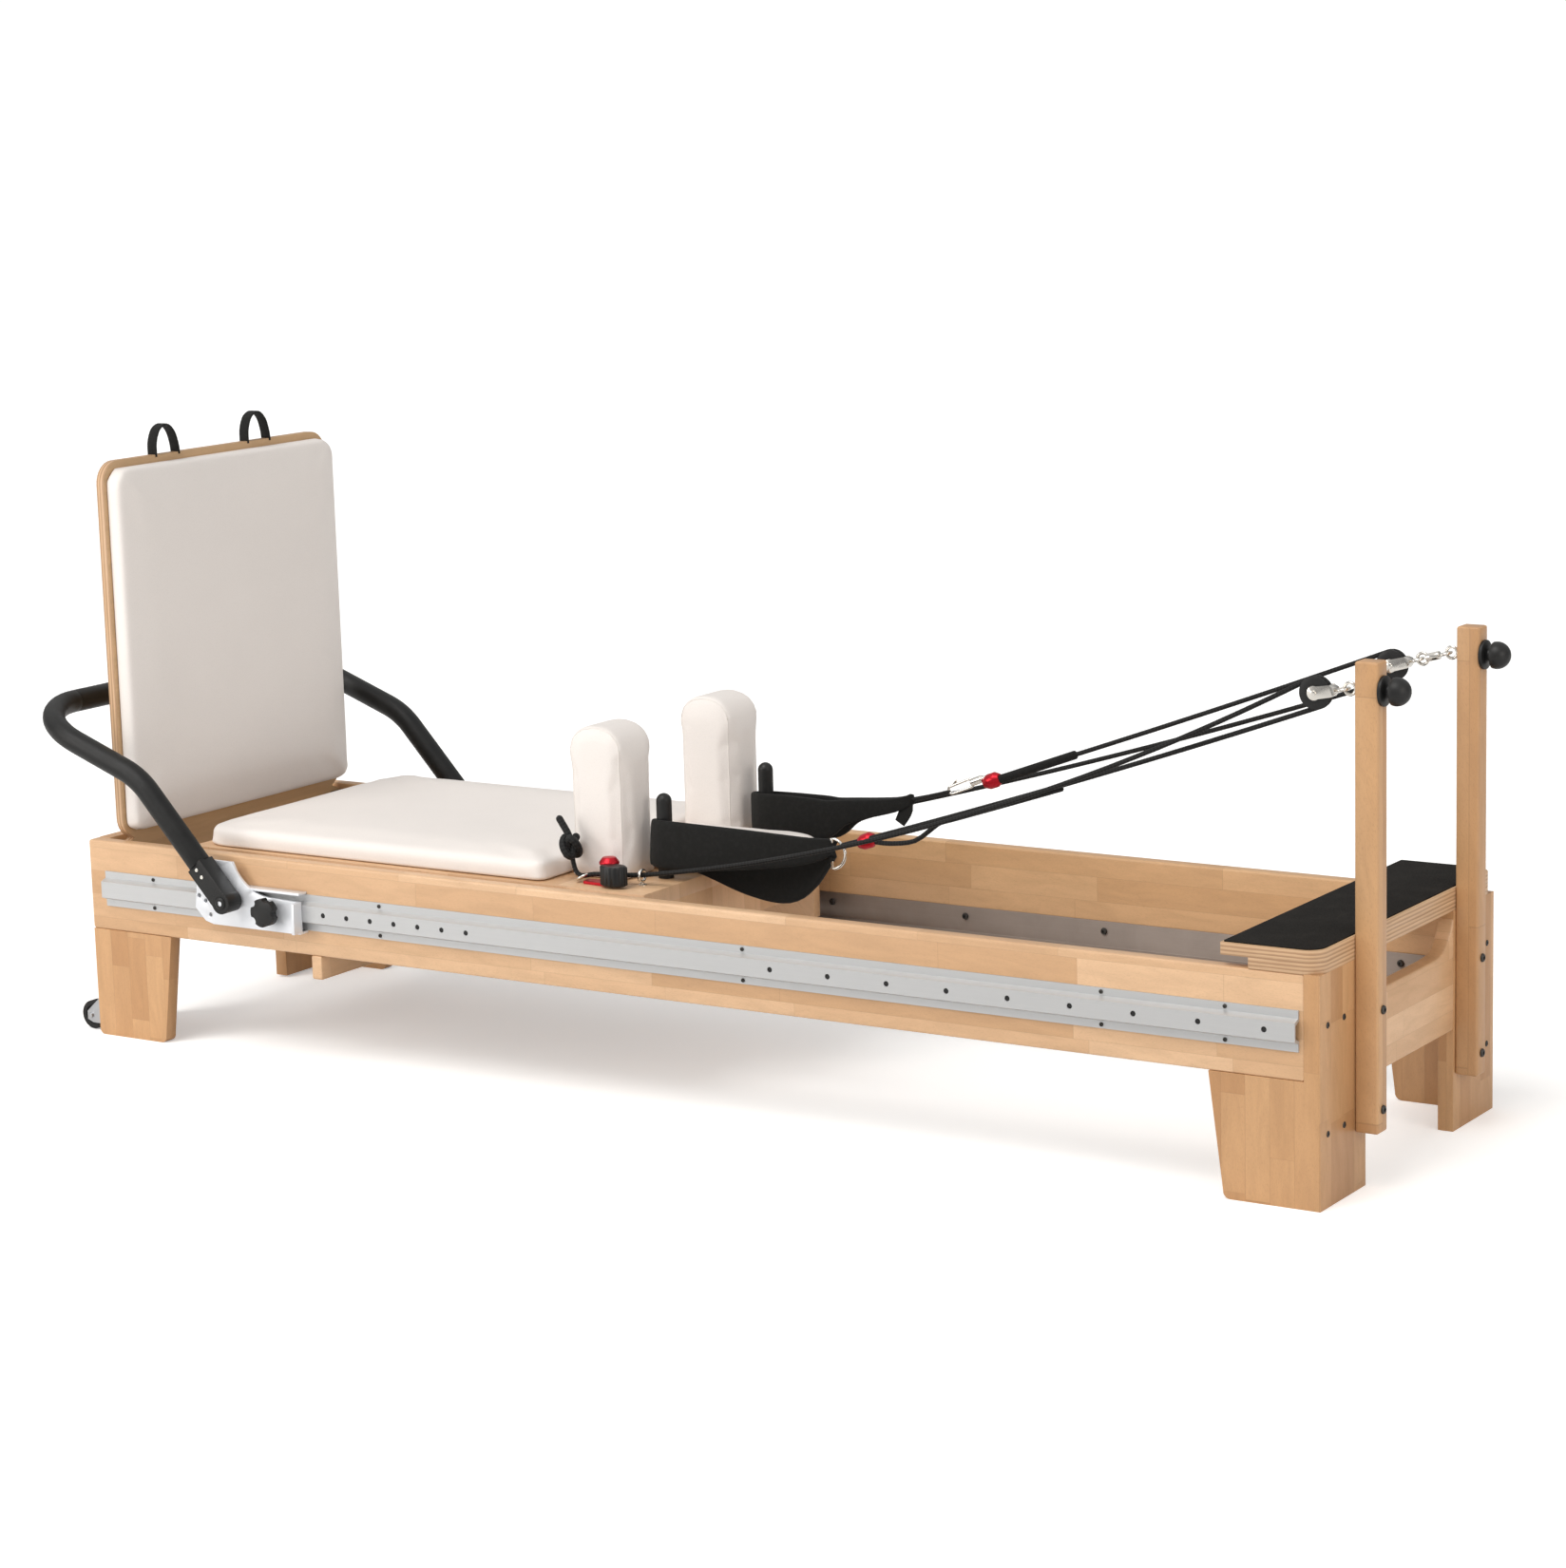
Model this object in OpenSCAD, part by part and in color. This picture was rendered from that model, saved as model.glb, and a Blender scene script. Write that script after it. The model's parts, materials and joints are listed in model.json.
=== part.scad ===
// Pilates reformer: wooden frame on rails, sprung sliding carriage, footbar, jump board, risers with rope pulleys.
// Origin: on the floor, at the middle of the overall length and width. +X points to the head end, +Z up.
// Inside the modules x is measured from the foot end of the frame, and place() moves it to the origin.

/* [Frame] */
// Length of the wooden frame
frame_l = 2400; // [2390:5:2430]
// Width over the side panels
frame_w = 650; // [640:2:660]
// Floor to the underside of the side panels
panel_z = 195; // [190:1:200]
// Height of the side panels
panel_h = 162; // [160:1:164]
// Thickness of the side panels and the posts
panel_t = 26; // [25:0.5:27]
// Thickness of the leg boards
leg_t = 25; // [23:0.5:25]
// Width of the end posts across the frame
post_w = 160; // [155:1:165]
// Height of the risers above the floor
riser_top = 804; // [790:2:840]
// Distance from the middle line to the middle of a riser
riser_y = 187.5; // [186:0.5:189]

/* [Carriage] */
// Head end of the carriage deck
deck_end = 1178; // [1170:2:1190]
// Half the width of the carriage deck
deck_half = 288; // [283:1:290]
// Top of the carriage deck above the floor
deck_top = 357; // [357:0.5:359]
// Radius of the load wheels
load_r = 25; // [24:0.5:25]
// Height of the mat
mat_h = 41; // [35:1:43]
// Length of the headrest from its hinge
headrest_l = 300; // [280:2:310]
// Height of a shoulder rest
rest_h = 262; // [246:2:274]

/* [Footbar] */
// Outside radius of the steel tube
bar_r = 16; // [15:0.5:17]
// Outside radius of the foam grip
grip_r = 20; // [19:0.5:21]
// Distance from the middle line to the middle of an arm
arm_y = 370; // [369:0.5:374]
// Height of the pivot above the floor
pivot_z = 285; // [284:0.5:286]
// Distance of the pivot from the foot end
pivot_x = 355; // [350:1:358]
// Radius of the bend between an arm and the crossbar
corner_r = 130; // [120:2:140]

/* [Jump board] */
// Height of the top of the board above the floor
board_top = 1030; // [1000:2:1040]
// Thickness of the board
board_t = 16; // [15:0.5:17]
// Half the width of the board
board_half = 305; // [290:1:310]
// Thickness of the padding
board_pad_t = 36; // [30:1:38]

/* [Ropes] */
// Radius of a rope
rope_r = 4; // [3:0.25:4.25]
// Radius of a pulley wheel over its flanges
sheave_r = 25; // [24:0.5:27]
// Height of the pulley eyebolts above the floor
eye_z = 760; // [750:1:765]

/* [Hidden] */
$fn = 48;

WOOD = [0.85, 0.67, 0.43];
CREAM = [0.93, 0.91, 0.88];
BLACK = [0.07, 0.07, 0.07];
ALUMINIUM = [0.76, 0.78, 0.80];
STEEL = [0.70, 0.70, 0.72];
RED = [0.75, 0.05, 0.08];

// Overall length runs from the back of the footbar to the end of the riser knobs.
cross_x = -95;
bar_back = grip_r - cross_x;
riser_t = 38;
riser_w = 34;
riser_z = 92;
knob_l = 44;
knob_end = riser_t + knob_l;
x_mid = (frame_l + knob_end - bar_back) / 2;
half_w = frame_w / 2;
inner_y = half_w - panel_t;
panel_top = panel_z + panel_h;
post_x = frame_l - panel_t;
base_ply = 17;
top_ply = 19;

// Outer rail: a flanged channel with lock holes along its raised band
rail_x0 = 37;
rail_x1 = 2367;
rail_z0 = 240;
rail_z1 = 303;
rail_flange = 3;
rail_rise = 15;
lock_hole_r = 4.5;
lock_z = 272;
foot_holes = [for (i = [0:6]) 543 + 51 * i];
head_holes = [for (i = [0:8]) 1453 + 108 * i];

// Inner track: an angle whose ledge carries the load wheels
track_x0 = 30;
track_x1 = 2370;
track_z0 = 200;
track_z1 = 247;
track_t = 3;
ledge_w = 44;
wheel_gap = 0.1;
axle_z = track_z0 + track_t + load_r + wheel_gap;
axle_r = 6;
running_gap = 0.05;

deck_t = 25;
deck_z = deck_top - deck_t;
deck_x0 = 212;
chassis_x0 = 215;
side_y = 226;
side_t = 20;
foot_axle_x = 300;
head_axle_x = 1080;

rest_x = 975;
rest_l = 115;
rest_w = 100;
rest_y = 163;
headrest_x = 985;
headrest_half = 103;

bar_x = 502;
bar_t = 18;
spring_z = 262;
spring_r = 11;
spring_pitch = 70;
anchor_x = 1030;

bend_x = 168;
bend_z = 489;
steep = atan2(bend_z - pivot_z, pivot_x - bend_x);
shallow = 20.5;
bar_turn_r = 140;
grip_start = 84;
bend_step = 0.1; // a bend stands this much proud of the straight runs it joins
cross_z = bend_z + (bend_x - cross_x) * tan(shallow);

board_x = 50;
lock_x = 433;

near_tilt = 9.3;
far_tilt = 14.5;
eye_x = frame_l - 14;
near_drop = 55;
far_drop = 103;
near_sheave_x = eye_x - near_drop * cos(near_tilt);
near_sheave_z = eye_z - near_drop * sin(near_tilt);
far_sheave_x = eye_x - far_drop * cos(far_tilt);
far_sheave_z = eye_z - far_drop * sin(far_tilt);
sheave_pin = 4;
groove_r = sheave_r - 7;
rope_turn_r = sheave_r - 2.5;

deck_eye_x = 1130;
deck_eye_y = 225;
deck_eye_z = deck_top + 18;
near_clip_x = 1512;
near_clip_y = 132;
near_clip_z = 447;
far_clip_x = 1590;
far_clip_y = 142;
far_clip_z = 505;
post_x0 = 1132;
post_y0 = 155;
post_r = 13;

// Points of an arc about (cx, cy) from angle a0 to a1
function arc(cx, cy, r, a0, a1, steps = 8) =
    [for (i = [0:steps]) let (a = a0 + (a1 - a0) * i / steps) [cx + r * cos(a), cy + r * sin(a)]];

module place() {
    translate([-x_mid, 0, 0]) children();
}

module far_side() {
    mirror([0, 1, 0]) children();
}

module both() {
    children();
    mirror([0, 1, 0]) children();
}

// A plate with rounded corners, r at its low-x side and r2 at its high-x side
module rounded_plate(x0, y0, x1, y1, r, r2, t) {
    linear_extrude(t)
        polygon(concat(
            arc(x0 + r, y0 + r, r, 180, 270),
            arc(x1 - r2, y0 + r2, r2, 270, 360),
            arc(x1 - r2, y1 - r2, r2, 0, 90),
            arc(x0 + r, y1 - r, r, 90, 180)));
}

// Extrudes an outline drawn in x and z towards +Y, from y to y + t
module upright(y, t) {
    translate([0, y + t, 0]) rotate([90, 0, 0]) linear_extrude(t) children();
}

// A cylinder along Y from y0 to y1
module along_y(x, z, r, y0, y1) {
    translate([x, y0, z]) rotate([-90, 0, 0]) cylinder(r = r, h = y1 - y0);
}

// A cylinder along X from x0 to x1
module along_x(y, z, r, x0, x1) {
    translate([x0, y, z]) rotate([0, 90, 0]) cylinder(r = r, h = x1 - x0);
}

// A ring of round wire, its hole along Z
module ring(radius, wire) {
    rotate_extrude() translate([radius, 0]) circle(r = wire, $fn = 24);
}

// A round bar between two points
module bar(a, b, r) {
    d = b - a;
    translate(a) rotate([0, acos(d[2] / norm(d)), atan2(d[1], d[0])]) cylinder(r = r, h = norm(d), $fn = 24);
}

module side_panel() {
    translate([0, -half_w, panel_z]) cube([post_x, panel_t, panel_h]);
}

module foot_end_board() {
    color(WOOD) place() translate([0, -inner_y, panel_z]) cube([panel_t, 2 * inner_y, panel_h]);
}

// The board dips between the posts: nearly level, then a steep curve up to each post
module head_end_board() {
    edge = half_w - post_w;
    low = 292;
    high = 345;
    steps = 48;
    rise = [for (i = [0:steps]) let (y = -edge + 2 * edge * i / steps)
        [y, low + (high - low) * pow(abs(y) / edge, 8)]];
    color(WOOD) place() translate([post_x, 0, 0]) rotate([90, 0, 90]) linear_extrude(panel_t)
        polygon(concat([[edge, 165], [-edge, 165]], rise));
}

// Side board of a foot-end leg, tapered on its inner edge, with an end board behind the wheels
module foot_leg() {
    toe = 157;
    heel = 181;
    union() {
        upright(-half_w, leg_t)
            polygon(concat([[0, panel_z]], arc(10, 10, 10, 180, 270, 4),
                arc(toe - 12, 12, 12, 270, 366, 5), [[heel, panel_z]]));
        translate([0, -half_w + leg_t - 1, 4]) cube([leg_t, post_w - leg_t + 1, panel_z - 4]);
    }
}

// Side board and end post of a head-end leg, glued into an L
module head_leg() {
    toe = 2241;
    heel = 2218;
    union() {
        upright(-half_w, leg_t)
            polygon(concat([[heel, panel_z]], arc(toe + 12, 12, 12, 174, 270, 5),
                [[post_x + 1, 0], [post_x + 1, panel_z]]));
        translate([post_x, -half_w, 0]) cube([panel_t, post_w, panel_top]);
    }
}

module spring_brace() {
    brace_t = 22;
    brace_h = 42;
    color(WOOD) place() translate([500, -half_w, panel_z - brace_h]) cube([brace_t, frame_w, brace_h]);
}

// Rail section with a hollow behind its raised band, and a row of lock holes
module outer_rail() {
    face = -half_w - rail_rise;
    wall = 3;
    difference() {
        translate([rail_x0, 0, 0]) rotate([90, 0, 90]) linear_extrude(rail_x1 - rail_x0)
            polygon([
                [-half_w, rail_z0], [-half_w, rail_z1],
                [-half_w - rail_flange, rail_z1], [-half_w - rail_flange, rail_z1 - 12],
                [face, rail_z1 - 17], [face, rail_z0 + 17],
                [-half_w - rail_flange, rail_z0 + 12], [-half_w - rail_flange, rail_z0]]);
        translate([rail_x0 - 1, 0, 0]) rotate([90, 0, 90]) linear_extrude(rail_x1 - rail_x0 + 2)
            polygon([
                [-half_w + 1, rail_z0 + 16], [-half_w + 1, rail_z1 - 16],
                [face + wall, rail_z1 - 21], [face + wall, rail_z0 + 21]]);
        for (x = concat(foot_holes, head_holes)) along_y(x, lock_z, lock_hole_r, face - 1, face + wall + 1);
    }
}

module track() {
    translate([track_x0, -inner_y, track_z0]) cube([track_x1 - track_x0, track_t, track_z1 - track_z0]);
    translate([track_x0, -inner_y, track_z0]) cube([track_x1 - track_x0, ledge_w, track_t]);
}

module inner_tracks() {
    color(ALUMINIUM) place() both() union() track();
}

module platform_base() {
    color(WOOD) place() translate([0, 0, panel_top])
        rounded_plate(2284, -half_w, frame_l, half_w, 2, 30, base_ply);
}

module platform_top() {
    color(WOOD) place() translate([0, 0, panel_top + base_ply])
        rounded_plate(2239, -half_w, frame_l, half_w, 2, 30, top_ply);
}

module platform_grip() {
    color(BLACK) place() translate([0, 0, panel_top + base_ply + top_ply])
        rounded_plate(2243, -half_w + 4, frame_l - 4, half_w - 4, 2, 27, 2);
}

// Upright post for a pulley, drilled for the eyebolt
module riser() {
    difference() {
        translate([frame_l, -riser_y - riser_w / 2, riser_z]) cube([riser_t, riser_w, riser_top - riser_z]);
        along_x(-riser_y, eye_z, 5 + running_gap, frame_l - 1, frame_l + riser_t + 1);
    }
}

// Heads of the screws and bolts that hold the frame together
module frame_screws() {
    color(STEEL) place() both() {
        for (z = [128, 281]) along_x(-riser_y, z, 7, frame_l + riser_t, frame_l + riser_t + 4);
        for (y = [27, 84], z = [113, 278]) along_x(-half_w + y, z, 5, frame_l, frame_l + 1.5);
        for (x = [150, 657, 1394, 2041, 2248], z = [246, 297])
            along_y(x, z, 3.5, -half_w - rail_flange - 2, -half_w - rail_flange);
        for (i = [0:8]) along_y(93 + 270 * i, 230, 6, -inner_y + track_t, -inner_y + track_t + 4);
    }
}

// Steel bar with one hook slot per spring, on two uprights from the brace
module spring_bar() {
    half = 215;
    color(STEEL) place() difference() {
        union() {
            translate([bar_x, -half, 250]) cube([bar_t, 2 * half, 25]);
            both() translate([bar_x, -half, panel_z]) cube([bar_t, 20, 55]);
        }
        for (i = [-2:2]) translate([bar_x + bar_t / 2, spring_pitch * i, 249]) cylinder(r = 4, h = 27);
    }
}

// Slotted blocks on the side panels that hold the foot of the jump board
module board_sockets() {
    color(BLACK) place() both() difference() {
        translate([35, -inner_y, 250]) cube([46, 29, 95]);
        translate([board_x - 0.5, -inner_y - 1, 258]) cube([board_t + 1, 31, 100]);
    }
}

// Blocks on the side panels that end the carriage's run at the foot end
module carriage_stops() {
    stop_l = 26;
    color(BLACK) place() both()
        translate([chassis_x0 - 0.5 - stop_l, -inner_y, 262]) cube([stop_l, inner_y - side_y, 40]);
}

// Eyebolt through the riser, built about the riser's hole
module eyebolt() {
    along_x(0, 0, 5, frame_l - 4, frame_l + riser_t + 22);
    translate([eye_x, 0, 0]) rotate([90, 0, 0]) ring(9, 2.5);
}

module eyebolts() {
    color(STEEL) place() {
        union() translate([0, -riser_y, eye_z]) eyebolt();
        union() translate([0, riser_y, eye_z]) eyebolt();
        translate([eye_x, riser_y, eye_z]) rotate([0, -far_tilt, 0]) union() {
            translate([-11, 0, 0]) ring(9, 2.5);
            along_x(0, 0, 6.5, -43, -21);
            translate([-50, 0, 0]) rotate([90, 0, 0]) ring(9, 2.5);
        }
    }
}

// Two cheeks, a tail ring and the wheel's pin, with the wheel's centre reach away from the eye
module pulley_block(reach) {
    cheek_y = 8;
    tail = reach > 80 ? 59 : 11;
    union() {
        translate([-tail, 0, 0]) ring(9, 2.5);
        translate([-tail - 17, 0, 0]) rotate([90, 0, 0])
            linear_extrude(2 * cheek_y + 4, center = true) polygon([[6, -4], [6, 4], [-1, 9], [-1, -9]]);
        for (s = [-1, 1]) translate([0, s * (cheek_y + 1), 0]) rotate([90, 0, 0])
            linear_extrude(2, center = true)
                polygon(concat([[-tail - 17, -9]], arc(-reach, 0, 11, 300, 60, 10), [[-tail - 17, 9]]));
        along_y(-reach, 0, sheave_pin, -cheek_y - 5, cheek_y + 5);
    }
}

// Grooved wheel with its axis along Y
module pulley_wheel() {
    half = 7;
    rotate([90, 0, 0]) rotate_extrude() polygon([
        [sheave_pin + running_gap, -half], [sheave_r, -half], [sheave_r, -half + 1.6],
        [groove_r, -half + 2.6], [groove_r, half - 2.6],
        [sheave_r, half - 1.6], [sheave_r, half], [sheave_pin + running_gap, half]]);
}

// Washer, neck and domed head, bored for the end of the eyebolt
module riser_knob() {
    x0 = frame_l + riser_t;
    head_r = 21.5;
    translate([x0, -riser_y, eye_z]) rotate([0, 90, 0]) rotate_extrude() polygon(concat(
        [[5 + running_gap, 0], [23, 0], [23, 5], [21, 6.5], [10, 8], [10, 17]],
        arc(0, knob_l - head_r, head_r, -15, 89, 10),
        [[0, knob_l], [0, 23], [5 + running_gap, 23]]));
}

// Forked bracket on the foot-end leg, with the wheel's pin
module wheel_brackets() {
    color(STEEL) place() both() union() {
        for (y = [-310, -286]) upright(y, 4)
            polygon([[0, 14], [0, 60], [-14, 60], [-43, 34], [-43, 19], [-30, 14]]);
        translate([-4, -310, 30]) cube([4, 28, 34]);
        along_y(-34, 27, 5, -314, -278);
    }
}

module transport_wheel() {
    translate([-34, -296, 27]) rotate([90, 0, 0]) difference() {
        cylinder(r = 26, h = 18, center = true);
        cylinder(r = 5 + running_gap, h = 20, center = true);
    }
}

// Plate that slides on the outer rail: hooked lips, an ear that carries the pivot, and an end flange
module footbar_bracket() {
    plate_y = -half_w - rail_rise - 6.5;
    plate_t = 6;
    difference() {
        union() {
            upright(plate_y, plate_t) polygon(concat(
                [[262, 262], [268, 306], [300, 350], [350, 350]],
                arc(433, 384, 90, 214, 268, 8),
                [[497, 292], [497, 236], [300, 236], [284, 240]]));
            translate([268, plate_y, rail_z1 + 0.5]) cube([229, rail_rise + 6, 4]);
            translate([300, plate_y, rail_z0 - 4.5]) cube([197, rail_rise + 6, 4]);
            translate([491, plate_y - 16, 238]) cube([6, 17, 54]);
            along_y(pivot_x, pivot_z, 10, plate_y - 42, plate_y + 1);
        }
        along_y(lock_x, lock_z, 7 + running_gap, plate_y - 1, plate_y + plate_t + 1);
        for (p = [[318, 338], [322, 312], [272, 284], [286, 276], [296, 252]])
            along_y(p[0], p[1], 4, plate_y - 1, plate_y + plate_t + 1);
    }
}

// Spring plunger with a lobed grip
module lock_knob() {
    face = -half_w - rail_rise;
    along_y(lock_x, lock_z, 7, face - 12, face - 0.5);
    along_y(lock_x, lock_z, 14, face - 17, face - 12);
    difference() {
        along_y(lock_x, lock_z, 25, face - 31, face - 17);
        for (a = [0:72:288])
            along_y(lock_x + 28 * cos(a), lock_z + 28 * sin(a), 8, face - 32, face - 16);
    }
}

// Straight stretch of tube along the local X axis
module tube_run(length, outer, inner) {
    rotate([0, 90, 0]) linear_extrude(length) difference() {
        circle(r = outer);
        circle(r = inner);
    }
}

// Bend in the local XY plane that starts along +X and turns towards +Y
module tube_bend(radius, angle, outer, inner) {
    translate([0, radius, 0]) rotate([0, 0, -90]) rotate_extrude(angle = angle)
        translate([radius, 0]) difference() {
            circle(r = outer);
            circle(r = inner);
        }
}

// One side of the footbar from its lower end: a steep run, a bend, a shallow run
module bar_arm(start, outer, inner) {
    turn = steep - shallow;
    tangent = bar_turn_r * tan(turn / 2);
    run_one = norm([pivot_x - bend_x, bend_z - pivot_z]) - tangent - start;
    run_two = (bend_x - cross_x) / cos(shallow) - tangent - corner_r;
    translate([pivot_x, -arm_y, pivot_z]) rotate([0, -steep, 180]) translate([start, 0, 0]) {
        tube_run(run_one, outer, inner);
        translate([run_one, 0, 0]) rotate([-90, 0, 0]) {
            tube_bend(bar_turn_r, turn, outer + bend_step, inner + bend_step);
            translate([0, bar_turn_r, 0]) rotate([0, 0, turn]) translate([0, -bar_turn_r, 0]) {
                tube_run(run_two, outer, inner);
            }
        }
    }
}

// The quarter turn from the end of a side into the crossbar
module bar_corner(outer, inner) {
    translate([cross_x, -arm_y, cross_z]) rotate([0, -shallow, 180]) translate([-corner_r, 0, 0])
        mirror([0, 1, 0]) tube_bend(corner_r, 90, outer + bend_step, inner + bend_step);
}

// The level run across the foot end, less a seam at each corner
module crossbar(seam, outer, inner) {
    half = arm_y - corner_r - seam;
    translate([cross_x, -half, cross_z]) rotate([0, 0, 90]) tube_run(2 * half, outer, inner);
}

module footbar_tube() {
    color(STEEL) place() {
        both() union() bar_arm(50, bar_r, bar_r - 2.5);
        both() bar_corner(bar_r, bar_r - 2.5);
        crossbar(0, bar_r, bar_r - 2.5);
    }
}

module footbar_grip() {
    color(BLACK) place() {
        both() union() bar_arm(grip_start, grip_r, bar_r + running_gap);
        both() bar_corner(grip_r, bar_r + running_gap);
        crossbar(0.5, grip_r, bar_r + running_gap);
    }
}

// Flat socket with a round boss at the foot of each arm, bored for the pivot and for the tube
module footbar_sleeves() {
    color(BLACK) place() both() difference() {
        union() {
            along_y(pivot_x, pivot_z, 19, -arm_y - 17.5, -arm_y + 17.5);
            translate([pivot_x, -arm_y, pivot_z]) rotate([0, -steep, 180])
                translate([0, -17, -18]) cube([grip_start - 0.5, 34, 36]);
        }
        along_y(pivot_x, pivot_z, 10 + running_gap, -arm_y - 20, -arm_y + 20);
        translate([pivot_x, -arm_y, pivot_z]) rotate([0, -steep, 180]) translate([49, 0, 0])
            rotate([0, 90, 0]) cylinder(r = bar_r + running_gap, h = 40);
    }
}

module jump_board() {
    shoulder = 356;
    half_tab = inner_y - 2;
    color(WOOD) place() translate([board_x, 0, 0]) rotate([90, 0, 90]) linear_extrude(board_t)
        polygon(concat(
            arc(board_half - 40, board_top - 40, 40, 0, 90),
            arc(-board_half + 40, board_top - 40, 40, 90, 180),
            arc(-board_half + 40, shoulder + 40, 40, 180, 240, 6),
            [[-half_tab + 20, shoulder], [-half_tab, shoulder - 8], [-half_tab, 258.5],
             [half_tab, 258.5], [half_tab, shoulder - 8], [half_tab - 20, shoulder]],
            arc(board_half - 40, shoulder + 40, 40, 300, 360, 6)));
}

module jump_board_pad() {
    half = board_half + 2;
    color(CREAM) place() translate([board_x + board_t, 0, 0]) rotate([90, 0, 90]) linear_extrude(board_pad_t)
        polygon(concat(
            arc(half - 40, board_top - 43, 40, 0, 90),
            arc(-half + 40, board_top - 43, 40, 90, 180),
            arc(-half + 30, 394, 30, 180, 270),
            arc(half - 30, 394, 30, 270, 360)));
}

// Two webbing loops that stand on the top edge of the board
module jump_board_loops() {
    color(BLACK) place() for (y = [-135, 115]) translate([board_x - 2, y, board_top]) rotate([90, 0, 90])
        linear_extrude(20) difference() {
            polygon(concat([[-32, 0.2]], arc(0, 28, 26, 170, 10, 12), [[32, 0.2]]));
            polygon(concat([[-28, -1]], arc(0, 28, 23, 170, 10, 12), [[28, -1]]));
        }
}

module carriage_deck() {
    color(WOOD) place() difference() {
        translate([deck_x0, -deck_half, deck_z]) cube([deck_end - deck_x0, 2 * deck_half, deck_t]);
        for (x = [1010, 1055], y = [-rest_y, rest_y])
            translate([x, y, deck_top - 20]) cylinder(r = 8 + 2 * running_gap, h = 21);
    }
}

// Side members, cross members, and the stub axles of the load wheels
module carriage_chassis() {
    color(WOOD) place() union() {
        both() {
            translate([chassis_x0, -side_y - side_t, 215])
                cube([deck_end - chassis_x0, side_t, deck_z - 215]);
            for (x = [foot_axle_x, head_axle_x]) along_y(x, axle_z, axle_r, -side_y - 57, -side_y - side_t);
        }
        translate([chassis_x0, -side_y, 290]) cube([25, 2 * side_y, deck_z - 290]);
        translate([deck_end - 25, -side_y, 262]) cube([25, 2 * side_y, deck_z - 262]);
        translate([anchor_x, -side_y, 240]) cube([20, 2 * side_y, 60]);
    }
}

module carriage_mat() {
    color(CREAM) place() translate([0, 0, deck_top])
        rounded_plate(deck_x0 + 2, 1 - deck_half, rest_x - 2, deck_half - 1, 60, 24, mat_h);
}

module headrest_board() {
    color(WOOD) place() difference() {
        translate([headrest_x, -headrest_half, deck_top + 0.5]) cube([headrest_l, 2 * headrest_half, 11.5]);
        translate([headrest_x - 1, -headrest_half - 1, deck_top]) cube([2, 2 * headrest_half + 2, 3]);
    }
}

module headrest_pad() {
    hinge_gap = 14; // room for the pad to tilt without meeting the mat
    color(CREAM) place() translate([0, 0, deck_top + 12]) rounded_plate(
        headrest_x + hinge_gap, -headrest_half, headrest_x + headrest_l, headrest_half, 20, 30, 30);
}

// Block with an arched top, on two pegs
module shoulder_rest() {
    union() {
        upright(-rest_y - rest_w / 2, rest_w) polygon(concat(
            [[rest_x, deck_top], [rest_x + rest_l, deck_top]],
            arc(rest_x + rest_l - 48, deck_top + rest_h - 48, 48, 0, 90),
            arc(rest_x + 48, deck_top + rest_h - 48, 48, 90, 180)));
        for (x = [1010, 1055]) translate([x, -rest_y, deck_top - 19]) cylinder(r = 8, h = 20);
    }
}

module strap_posts() {
    color(BLACK) place() both() translate([post_x0, -post_y0, deck_top])
        rotate_extrude() polygon(concat([[0, 0], [post_r, 0]], arc(0, 130, post_r, 0, 89, 8), [[0, 130 + post_r]]));
}

// Pair of load wheels on one axle line
module load_wheels(x) {
    color(BLACK) place() both() translate([x, -side_y - 42, axle_z]) rotate([90, 0, 0]) difference() {
        cylinder(r = load_r, h = 20, center = true);
        cylinder(r = axle_r + running_gap, h = 22, center = true);
    }
}

module springs() {
    color(STEEL) place() for (i = [-2:2])
        along_x(spring_pitch * i, spring_z, spring_r, bar_x + bar_t + 2, anchor_x - 2);
}

// Cam cleat and the ring that leads a rope into it
module rope_cleats() {
    color(RED) place() both() {
        translate([1040, -262, deck_top]) cube([64, 36, 5]);
        for (y = [-256, -233]) translate([1074, y, deck_top + 5]) cylinder(r = 10, h = 16);
        translate([deck_eye_x, -deck_eye_y, deck_eye_z]) rotate([0, 90, 0]) ring(9, 2.5);
        translate([deck_eye_x, -deck_eye_y, deck_top]) cylinder(r = 5, h = 7.2);
    }
}

// A rope that hangs between two points in straight stretches: one where it is taut
module strand(a, b, sag = 0) {
    pieces = sag > 0 ? 4 : 1;
    at = [for (i = [0:pieces]) let (t = i / pieces) a + (b - a) * t - [0, 0, 4 * sag * t * (1 - t)]];
    for (i = [0:pieces - 1]) bar(at[i], at[i + 1], rope_r);
    if (sag > 0) for (i = [1:pieces - 1]) translate(at[i]) sphere(r = rope_r + 0.3, $fn = 24);
}

module ropes() {
    near_s = [near_sheave_x, -riser_y, near_sheave_z];
    far_s = [far_sheave_x, riser_y, far_sheave_z];
    lift = [-0.34, 0, 0.94] * rope_turn_r;
    color(BLACK) place() {
        strand([deck_eye_x + 8, -deck_eye_y, deck_eye_z], near_s + lift, 56);
        strand([near_clip_x + 20, -near_clip_y, near_clip_z + 3], near_s - lift);
        strand([far_clip_x + 20, far_clip_y, far_clip_z + 6], far_s + lift);
        strand([deck_eye_x + 8, deck_eye_y, deck_eye_z], far_s - lift);
    }
}

// Flat band looped around a strap post and drawn together at end
module strap_loop(end) {
    from = [post_x0, post_y0];
    difference() {
        hull() {
            translate(from) circle(r = post_r + 9, $fn = 32);
            translate(end) circle(r = 9, $fn = 32);
        }
        hull() {
            translate(from) circle(r = post_r + 2, $fn = 32);
            translate(end) circle(r = 2, $fn = 32);
        }
    }
}

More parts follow.
